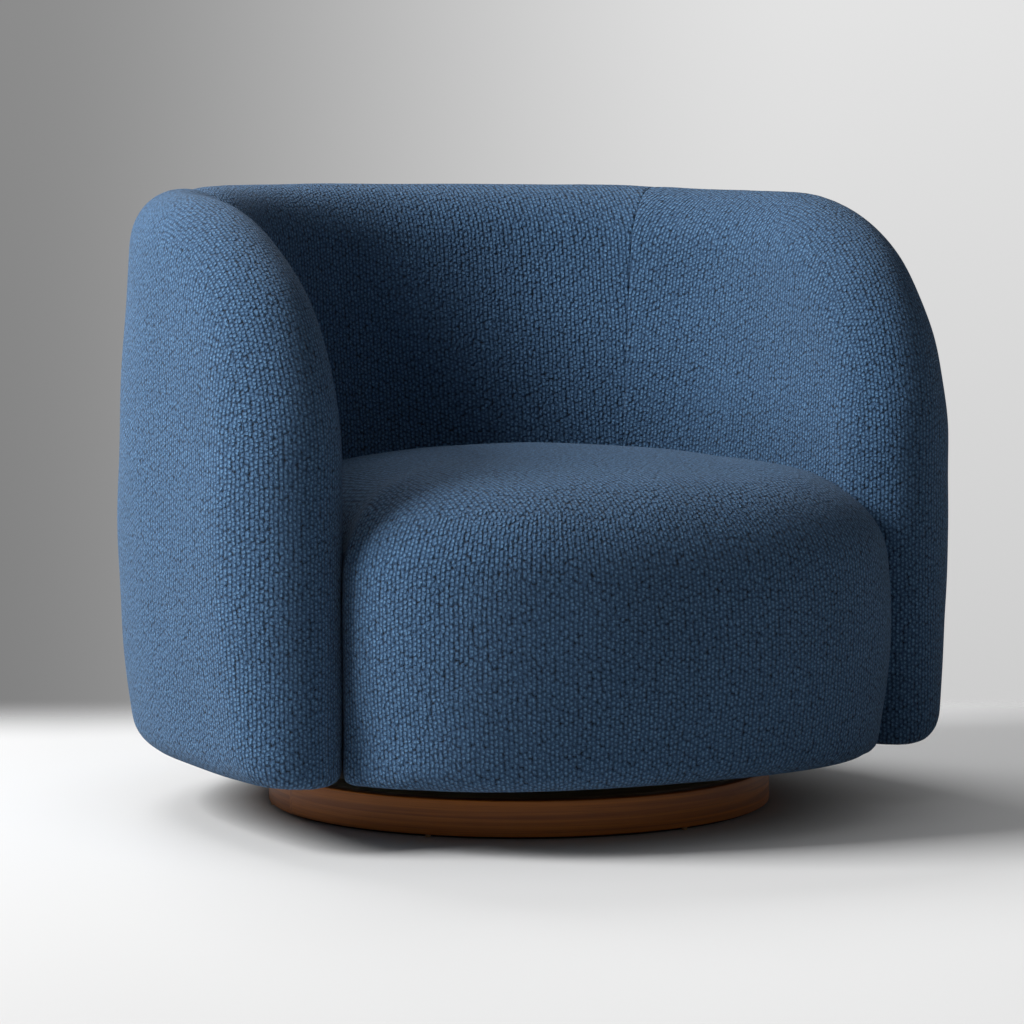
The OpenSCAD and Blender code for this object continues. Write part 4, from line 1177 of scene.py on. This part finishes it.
    def build(self) -> None:
        """Make the three covers. The arms are cut from one pattern, the left one turned over."""
        form, column = self.form, Look.WEAVE.value.column_mm
        first, last = form.seams
        back = self.sheet("cover_back", first, last, False)
        self.work.settle(back, self.held(back, form.seams))
        self.finish(back, "back_cover", form.length / 2, form.seams, 3)
        right = self.sheet("cover_arm_right", 0.0, first, True)
        self.work.settle(right, self.held(right, (first,)))
        left = linked("cover_arm_left", right.data.copy())
        left.data.transform(Matrix.Scale(-1, 4, Vector((1, 0, 0))))
        left.data.flip_normals()
        rim = form.edge * (math.pi / 2 - 1)
        start = rim - (round(rim / column) - 0.5) * column
        self.finish(right, "right_arm_cover", -start, (first,), 5)
        self.finish(left, "left_arm_cover", form.length + start, (last,), 8)


@dataclass
class SeatCover:
    """The cover of the seat block."""

    form: SeatForm
    work: Upholstery
    hem_ease_mm: float = 4.0
    side_from_mm: tuple[float, float] = (10.0, 20.0)
    side_below_mm: tuple[float, float] = (20.0, 40.0)
    wave_high_mm: float = 0.8
    wave_long_mm: tuple[float, float] = (100.0, 300.0)
    wave_over_mm: float = 60.0
    press_mm: float = 3.5
    press_wide_mm: float = 22.0
    press_out_mm: float = 300.0
    press_below_mm: tuple[float, float] = (115.0, 30.0)

    def sheet(self) -> Piece:
        """Make the cover as an open sheet, from a closed block opened underneath."""
        form = self.form
        piece = form.solid("cover_seat", self.work.start_in_mm)
        even_mesh(piece, self.work.voxel_mm, 6)
        centres = face_centres(piece)
        plan, angles, a = form.turned(centres)
        reach = np.interp(a, angles, np.linalg.norm(plan - form.centre, axis=1))
        share = np.linalg.norm(centres[:, :2] - form.centre, axis=1) / reach
        edge = 1 - (form.foot + form.swell + form.hem + self.hem_ease_mm) / form.plan_radius
        low = form.wall.low + self.work.start_in_mm
        keep_faces(piece, ~((centres[:, 2] < low + self.work.under_mm) & (share < edge)))
        return piece

    def build(self) -> None:
        """Make the seat's cover."""
        form, wall = self.form, self.form.wall
        piece = self.sheet()
        points = points_of(piece)
        (behind, over_y), (below, over_z) = self.side_from_mm, self.side_below_mm
        within = rising(points[:, 1] - wall.front_y - behind, over_y)
        within = within * rising(form.roll_z - below - points[:, 2], over_z)
        self.work.settle(piece, np.maximum(self.work.hem(points[:, 2] - wall.low), within))
        points = points_of(piece)
        wave = self.wave_high_mm * ripples(points, 11, self.wave_long_mm)
        wave = wave * rising(points[:, 2] - wall.low, self.wave_over_mm)
        moved = points + normals_of(piece) * wave[:, None]
        # Where the arms begin, the seat's foot is pressed against them
        beside = bell(points[:, 1] - wall.front_y + 2, self.press_wide_mm)
        beside = beside * (np.abs(points[:, 0]) > self.press_out_mm)
        top, over = self.press_below_mm
        moved[:, 0] += np.sign(points[:, 0]) * self.press_mm * beside * rising(top - points[:, 2], over)
        self.work.drop_foot(moved, wall.low, points)
        move_points(piece, moved)
        self.work.sew(piece, "seat_cover", *form.weave_maps(points))


@dataclass
class Foams:
    """The foams under the covers, each a copy of its solid, softened and pressed in where a seam pulls."""

    form: WallForm
    voxel_mm: float = 6.0
    seam_deep_mm: tuple[float, float] = (4.0, 4.0)
    seam_wide_mm: float = 12.0
    seam_apart_mm: float = 3.0
    apart_wide_mm: float = 8.0

    def press(self, piece: Piece) -> None:
        """Press the foam in along both seams, and draw its ends back from them for the turned-in cloth."""
        points = points_of(piece)
        s, _ = self.form.locate(points)
        press = Seams(self.form, self.seam_deep_mm, self.seam_wide_mm).press(points, s)
        outward = self.form.outward(s)
        away = sum(np.sign(s - seam) * self.seam_apart_mm * bell(s - seam, self.apart_wide_mm)
                   for seam in self.form.seams)
        points += normals_of(piece) * press[:, None]
        points[:, :2] += np.stack([-outward[:, 1], outward[:, 0]], -1) * away[:, None]
        move_points(piece, points)

    def build(self) -> None:
        """Make the five foams."""
        for node, name in (("back_foam", "foam_back"), ("right_arm_foam", "foam_arm_right"),
                           ("left_arm_foam", "foam_arm_left"), ("seat_foam", "foam_seat"),
                           ("front_foam", "foam_front")):
            piece = copy_of(node, name)
            even_mesh(piece, self.voxel_mm, 4)
            if node not in ("seat_foam", "front_foam"):
                self.press(piece)
            shade_smooth(piece, 50)
            stand_in(piece, Look.FOAM, "seat", node)


@dataclass
class Platform:
    """What lies between deck and foam: the felt over the springs and the roll along the deck's edge."""

    form: SeatForm
    edge_mm: float = 52.0
    felt_low_mm: float = 305.6
    felt_thick_mm: float = 5.5
    felt_cut_mm: float = 1.2
    felt_sink_mm: float = 0.35
    felt_wave_mm: tuple[float, float] = (18.0, 60.0)
    roll_voxel_mm: float = 3.5

    def felt(self) -> None:
        """Make the needled felt that keeps the springs off the foam, thinner at its cut edge."""
        plan = self.form.plan()
        low, half = self.felt_low_mm, self.felt_thick_mm / 2
        across = np.linspace(self.edge_mm + 3, self.form.plan_radius * self.form.centre_share, 34)
        rings = [(i, low) for i in across[::-1]]
        rings += [(self.edge_mm + self.felt_cut_mm * (1 - math.sin(a)), low + half - half * math.cos(a))
                  for a in np.linspace(0.3, math.pi - 0.3, 6)]
        rings += [(i, low + self.felt_thick_mm) for i in across]
        piece = loft("felt_springs", np.stack([self.form.ring(plan, i, z) for i, z in rings]))
        points = points_of(piece)
        sink = self.felt_sink_mm * (1 + ripples(points, 21, self.felt_wave_mm)).clip(0, 2)
        points[:, 2] -= sink * (points[:, 2] > low + half)
        move_points(piece, points)
        shade_smooth(piece, 60)
        stand_in(piece, Look.PAD_FELT, "seat", "spring_felt")

    def build(self) -> None:
        """Make the felt, and the felt roll along the deck's edge, flat underneath and rounded above."""
        self.felt()
        piece = copy_of("edge_roll", "roll_deck_edge")
        even_mesh(piece, self.roll_voxel_mm, 12)
        shade_smooth(piece)
        stand_in(piece, Look.ROLL_FELT, "seat", "edge_roll")


@dataclass
class DustCover:
    """The black cloth stapled under the bottom board, a little slack between its staples."""

    low_mm: float = 74.4
    cloth_mm: float = 0.7
    sag_mm: float = 0.8
    slack_mm: float = 40.0
    wave_mm: tuple[float, float] = (120.0, 300.0)
    cell_mm: float = 14.0
    hole_mm: float = 200.0
    staple_pitch_mm: float = 42.0
    staple_in_mm: float = 9.0
    staple_sunk_mm: float = 0.2
    crown_mm: Triple = (11.0, 1.2, 0.6)

    def cloth(self) -> Piece:
        """Cut the sheet from the underside of its solid, with a grid fine enough to sag."""
        piece = copy_of("dust_cover", "cloth_dust")
        with editing(piece) as mesh:
            mesh.normal_update()
            bmesh.ops.delete(mesh, geom=[f for f in mesh.faces if f.normal.z > -0.9], context="FACES")
            bmesh.ops.dissolve_limit(mesh, angle_limit=0.02, verts=mesh.verts, edges=mesh.edges)
            for axis, way in enumerate((Vector((1, 0, 0)), Vector((0, 1, 0)))):
                low, high = (pick(v.co[axis] for v in mesh.verts) for pick in (min, max))
                for cut in np.arange(low, high, self.cell_mm * MM)[1:]:
                    cut_across(mesh, way * float(cut), way, dist=1e-6)
        return piece

    def rim(self, piece: Piece) -> Array:
        """Plan points of the sheet's outer edge in order, in millimetres."""
        points = points_of(piece)
        found = points[at_rim(piece) & (np.linalg.norm(points, axis=1) > self.hole_mm), :2]
        return found[np.argsort(np.arctan2(found[:, 1], found[:, 0]))]

    def staples(self, rim: Array) -> None:
        """Drive staples along the edge, crowns in line with it."""
        loop = np.concatenate([rim, rim[:1]])
        whole = path_steps(loop)[-1]
        at = np.linspace(0, whole, int(whole / self.staple_pitch_mm), endpoint=False)
        here = along(loop, at)
        way = along(loop, (at + 4) % whole) - here
        way /= np.linalg.norm(way, axis=1, keepdims=True)
        here += np.stack([-way[:, 1], way[:, 0]], -1) * self.staple_in_mm
        bpy.ops.object.select_all(action="DESELECT")
        bpy.ops.mesh.primitive_cube_add(size=MM, location=(0, 0, 0))
        first = bpy.context.active_object
        first.scale = self.crown_mm
        bpy.ops.object.transform_apply(location=False, rotation=False, scale=True)
        finish_with(first, "BEVEL", width=0.2 * MM, segments=1)
        made = []
        for (x, y), (dx, dy) in zip(here, way):
            staple = linked("staple", first.data.copy())
            place = (x * MM, y * MM, (self.low_mm - self.staple_sunk_mm) * MM)
            turn = Matrix.Rotation(math.atan2(dy, dx), 4, "Z")
            staple.data.transform(Matrix.Translation(place) @ turn)
            made.append(staple)
        bpy.data.objects.remove(first)
        only(made[0])
        for staple in made:
            staple.select_set(True)
        bpy.ops.object.join()
        piece = bpy.context.active_object
        piece.name = piece.data.name = "staples_dust_cloth"
        Look.ZINC.value.dress(piece)
        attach(piece, "seat")
        log.info("staples: %d", len(made))

    def build(self) -> None:
        """Make the cloth and its staples."""
        piece = self.cloth()
        points, rim = points_of(piece), self.rim(piece)
        reach = np.interp(np.arctan2(points[:, 1], points[:, 0]), np.arctan2(rim[:, 1], rim[:, 0]),
                          np.hypot(rim[:, 0], rim[:, 1]), period=TURN)
        slack = rising(reach - np.hypot(points[:, 0], points[:, 1]), self.slack_mm)
        points[:, 2] -= self.sag_mm * slack * (0.5 + 0.5 * ripples(points, 31, self.wave_mm).clip(-1, 1))
        move_points(piece, points)
        finish_with(piece, "SOLIDIFY", thickness=self.cloth_mm * MM, offset=-1.0)
        shade_smooth(piece, 40)
        stand_in(piece, Look.DUST_CLOTH, "seat", "dust_cover")
        self.staples(rim)


# Plinth and frame


@dataclass
class Plinth:
    """The turned walnut ring that the chair stands on, and the felt under it."""

    radius_mm: float = 290.0
    low_mm: float = 3.0
    height_mm: float = 40.0
    wall_mm: float = 18.0
    ease_mm: float = 1.6
    felt_radius_mm: float = 282.5
    felt_wide_mm: float = 9.0
    felt_ease_mm: float = 0.5

    def tube(self, name: str, radius: float, wall: float, low: float, high: float, ease: float) -> Piece:
        """Turn a ring: an open cylinder, given its wall inwards, with eased edges.

        Args:
            name: The ring's name.
            radius: Its outer radius.
            wall: How thick its wall is.
            low: Height of its foot.
            high: Height of its top.
            ease: How far its edges are eased.

        Returns:
            The ring.
        """
        bpy.ops.object.select_all(action="DESELECT")
        bpy.ops.mesh.primitive_cylinder_add(vertices=256, radius=radius * MM, depth=(high - low) * MM,
                                            end_fill_type="NOTHING", location=(0, 0, (low + high) / 2 * MM))
        piece = bpy.context.active_object
        piece.name = piece.data.name = name
        bpy.ops.object.transform_apply(location=True, rotation=False, scale=False)
        finish_with(piece, "SOLIDIFY", thickness=wall * MM, offset=-1.0)
        finish_with(piece, "BEVEL", width=ease * MM, segments=3, limit_method="ANGLE",
                    angle_limit=math.radians(50))
        shade_smooth(piece, 40)
        return piece

    def grain_map(self, piece: Piece) -> None:
        """Run the grain round the ring, as in a bent board."""
        x, y, z = points_of(piece).T
        write_map(piece, "grain", np.stack([np.arctan2(y, x) * self.radius_mm, z + np.hypot(x, y)], -1) * MM)

    def build(self) -> None:
        """Make the ring and the felt under it."""
        top = self.low_mm + self.height_mm
        ring = self.tube("ring_walnut", self.radius_mm, self.wall_mm, self.low_mm, top, self.ease_mm)
        self.grain_map(ring)
        stand_in(ring, Look.WALNUT, "base", "plinth_ring")
        felt = self.tube("ring_felt", self.felt_radius_mm, self.felt_wide_mm, 0.0, self.low_mm,
                         self.felt_ease_mm)
        stand_in(felt, Look.DARK_FELT, "base", "felt_ring")


def dress_frame() -> None:
    """Give each carried-over solid the finish of its material slot."""
    for name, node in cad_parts.items():
        slot = node.data.materials[0].name.split(".")[0] if node.data.materials else ""
        # The bottom board is black as painted shade, so that its edge stays dark in the gap under the covers
        look = Look.STAINED_BIRCH if name == "bottom_board" else LOOKS.get(slot)
        if look is None:
            log.warning("%s has no finish for slot %r", name, slot)
        else:
            look.value.dress(node)


# Studio


@dataclass
class Studio:
    """A pale floor, soft light from the upper left, and the camera of the photograph."""

    camera_at: Triple = (-2.02224, -4.02, 0.72395)
    right: Triple = (0.894144, -0.447779, 0.0)
    up: Triple = (0.038712, 0.077302, 0.996256)
    forward: Triple = (0.446102, 0.890797, -0.086453)
    lens: float = 137.495
    aim: Triple = (0.0, 0.0, 0.35)
    floor_m: float = 9.0
    backdrop_m: float = 0.86
    side_m: float = 0.6
    # Strength of the painted glow that camera rays see on the paper
    paper_glow: float = 0.13
    fill: float = 0.085
    mirror: float = 0.45
    paper: tuple[str, str] = ("#BDBDBD", "#D8D8D8")
    wall: tuple[str, str] = ("#8B8B8B", "#E3E3E3")

    def camera(self) -> None:
        """Set the camera as the photograph's."""
        data = bpy.data.cameras.new("camera")
        data.lens, data.sensor_width = self.lens, 36.0
        data.clip_start, data.clip_end = 0.05, 60.0
        camera = linked("camera", data)
        axes = np.array([self.right, self.up, [-c for c in self.forward]]).T
        turned = Matrix([list(row) for row in axes]).to_4x4()
        turned.translation = Vector(self.camera_at)
        camera.matrix_world = turned
        bpy.context.scene.camera = camera

    def floor(self) -> None:
        """Lay a white floor that ends a little behind the chair, where the backdrop begins."""
        bpy.ops.object.select_all(action="DESELECT")
        bpy.ops.mesh.primitive_circle_add(vertices=96, radius=self.floor_m, fill_type="NGON")
        floor = bpy.context.active_object
        floor.name = "floor"
        made = bpy.data.materials.new("floor_paper")
        made.use_nodes = True
        net = Net(made.node_tree)
        place = net.put("TexCoord", out="Object")
        across = net.vector("DOT_PRODUCT", place, self.right)
        back = net.vector("DOT_PRODUCT", place, (self.forward[0], self.forward[1], 0.0))
        # The floor fades into the backdrop over a wider band at the left than at the right
        bend = net.span(across, -self.side_m, self.side_m, 0.42, 0.12)
        seen = net.span(back, net.math("SUBTRACT", self.backdrop_m, bend), self.backdrop_m, soft=True)
        ray = net.put("LightPath", out="Is Camera Ray")
        side = net.span(across, -self.side_m, self.side_m, soft=True)
        matt = net.put("BsdfDiffuse", {"Color": net.blend(side, *self.paper)})
        # Painted light: camera rays see a glow that lifts the paper and the shadows on it, fading out near
        # the chair so that the shade under it stays dark
        glow_clear_of_chair = net.span(net.vector("LENGTH", place), 0.27, 0.62, end=self.paper_glow, soft=True)
        glow = net.put("Emission", {"Color": srgb("#FFFFFF"), "Strength": net.math("MULTIPLY", ray, glow_clear_of_chair)})
        paper = net.put("AddShader", {0: matt, 1: glow})
        clear = net.math("MULTIPLY", seen, ray)
        mixed = net.put("MixShader", {0: clear, 1: paper, 2: net.put("BsdfTransparent")})
        net.put("OutputMaterial", {"Surface": mixed})
        floor.data.materials.append(made)

    def world(self) -> None:
        """Fill the studio with soft light, and show a grey backdrop that is darker at the left and above."""
        world = bpy.data.worlds.new("studio")
        world.use_nodes = True
        bpy.context.scene.world = world
        net = Net(world.node_tree)
        way = net.put("TexCoord", out="Generated")
        side = net.vector("DOT_PRODUCT", way, self.right)
        rise = net.vector("DOT_PRODUCT", way, (0.0, 0.0, 1.0))
        share = net.span(net.math("MULTIPLY_ADD", rise, -0.1, side), -0.14, 0.08, soft=True)
        seen = net.vector("SCALE", net.blend(share, *self.wall), net.span(rise, -0.13, 0.04, 0.8))
        fill = net.put("Background", {"Color": srgb("#FFFFFF"), "Strength": self.fill})
        back = net.put("Background", {"Color": seen, "Strength": 1.0})
        rays = net.put("LightPath", out=None).outputs
        through = net.math("MAXIMUM", rays["Is Camera Ray"], rays["Is Transmission Ray"])
        shown = net.math("MAXIMUM", through, net.math("MULTIPLY", rays["Is Glossy Ray"], self.mirror))
        net.put("OutputWorld", {"Surface": net.put("MixShader", {0: shown, 1: fill, 2: back})})

    def lamp(self, name: str, at: Triple, size: tuple[float, float], power: float) -> None:
        """Hang a soft box of a size and power that looks at the chair."""
        data = bpy.data.lights.new(name, "AREA")
        data.shape = "RECTANGLE"
        data.size, data.size_y = size
        data.energy = power
        lamp = linked(name, data)
        lamp.location = at
        lamp.rotation_mode = "QUATERNION"
        lamp.rotation_quaternion = (Vector(self.aim) - Vector(at)).to_track_quat("-Z", "Y")

    def build(self) -> None:
        """Set up the whole studio."""
        bpy.context.scene.view_settings.view_transform = "Standard"
        self.camera()
        self.floor()
        self.world()
        self.lamp("key", (-3.25, 0.55, 2.52), (1.7, 1.7), 243)
        self.lamp("back", (-0.5, 2.5, 2.9), (2.0, 1.6), 78)
        self.lamp("top", (-0.5, -1.0, 3.2), (1.8, 1.8), 4)


def main() -> None:
    """Build the studio and the chair, and report each piece."""
    logging.basicConfig(level=logging.INFO, format="%(name)s: %(message)s")
    Studio().build()
    wall = WallForm()
    seat = SeatForm(wall)
    work = Upholstery()
    dress_frame()
    Plinth().build()
    DustCover().build()
    Platform(seat).build()
    Foams(wall).build()
    WallCovers(wall, work).build()
    SeatCover(seat, work).build()


if __name__ == "__main__":
    main()
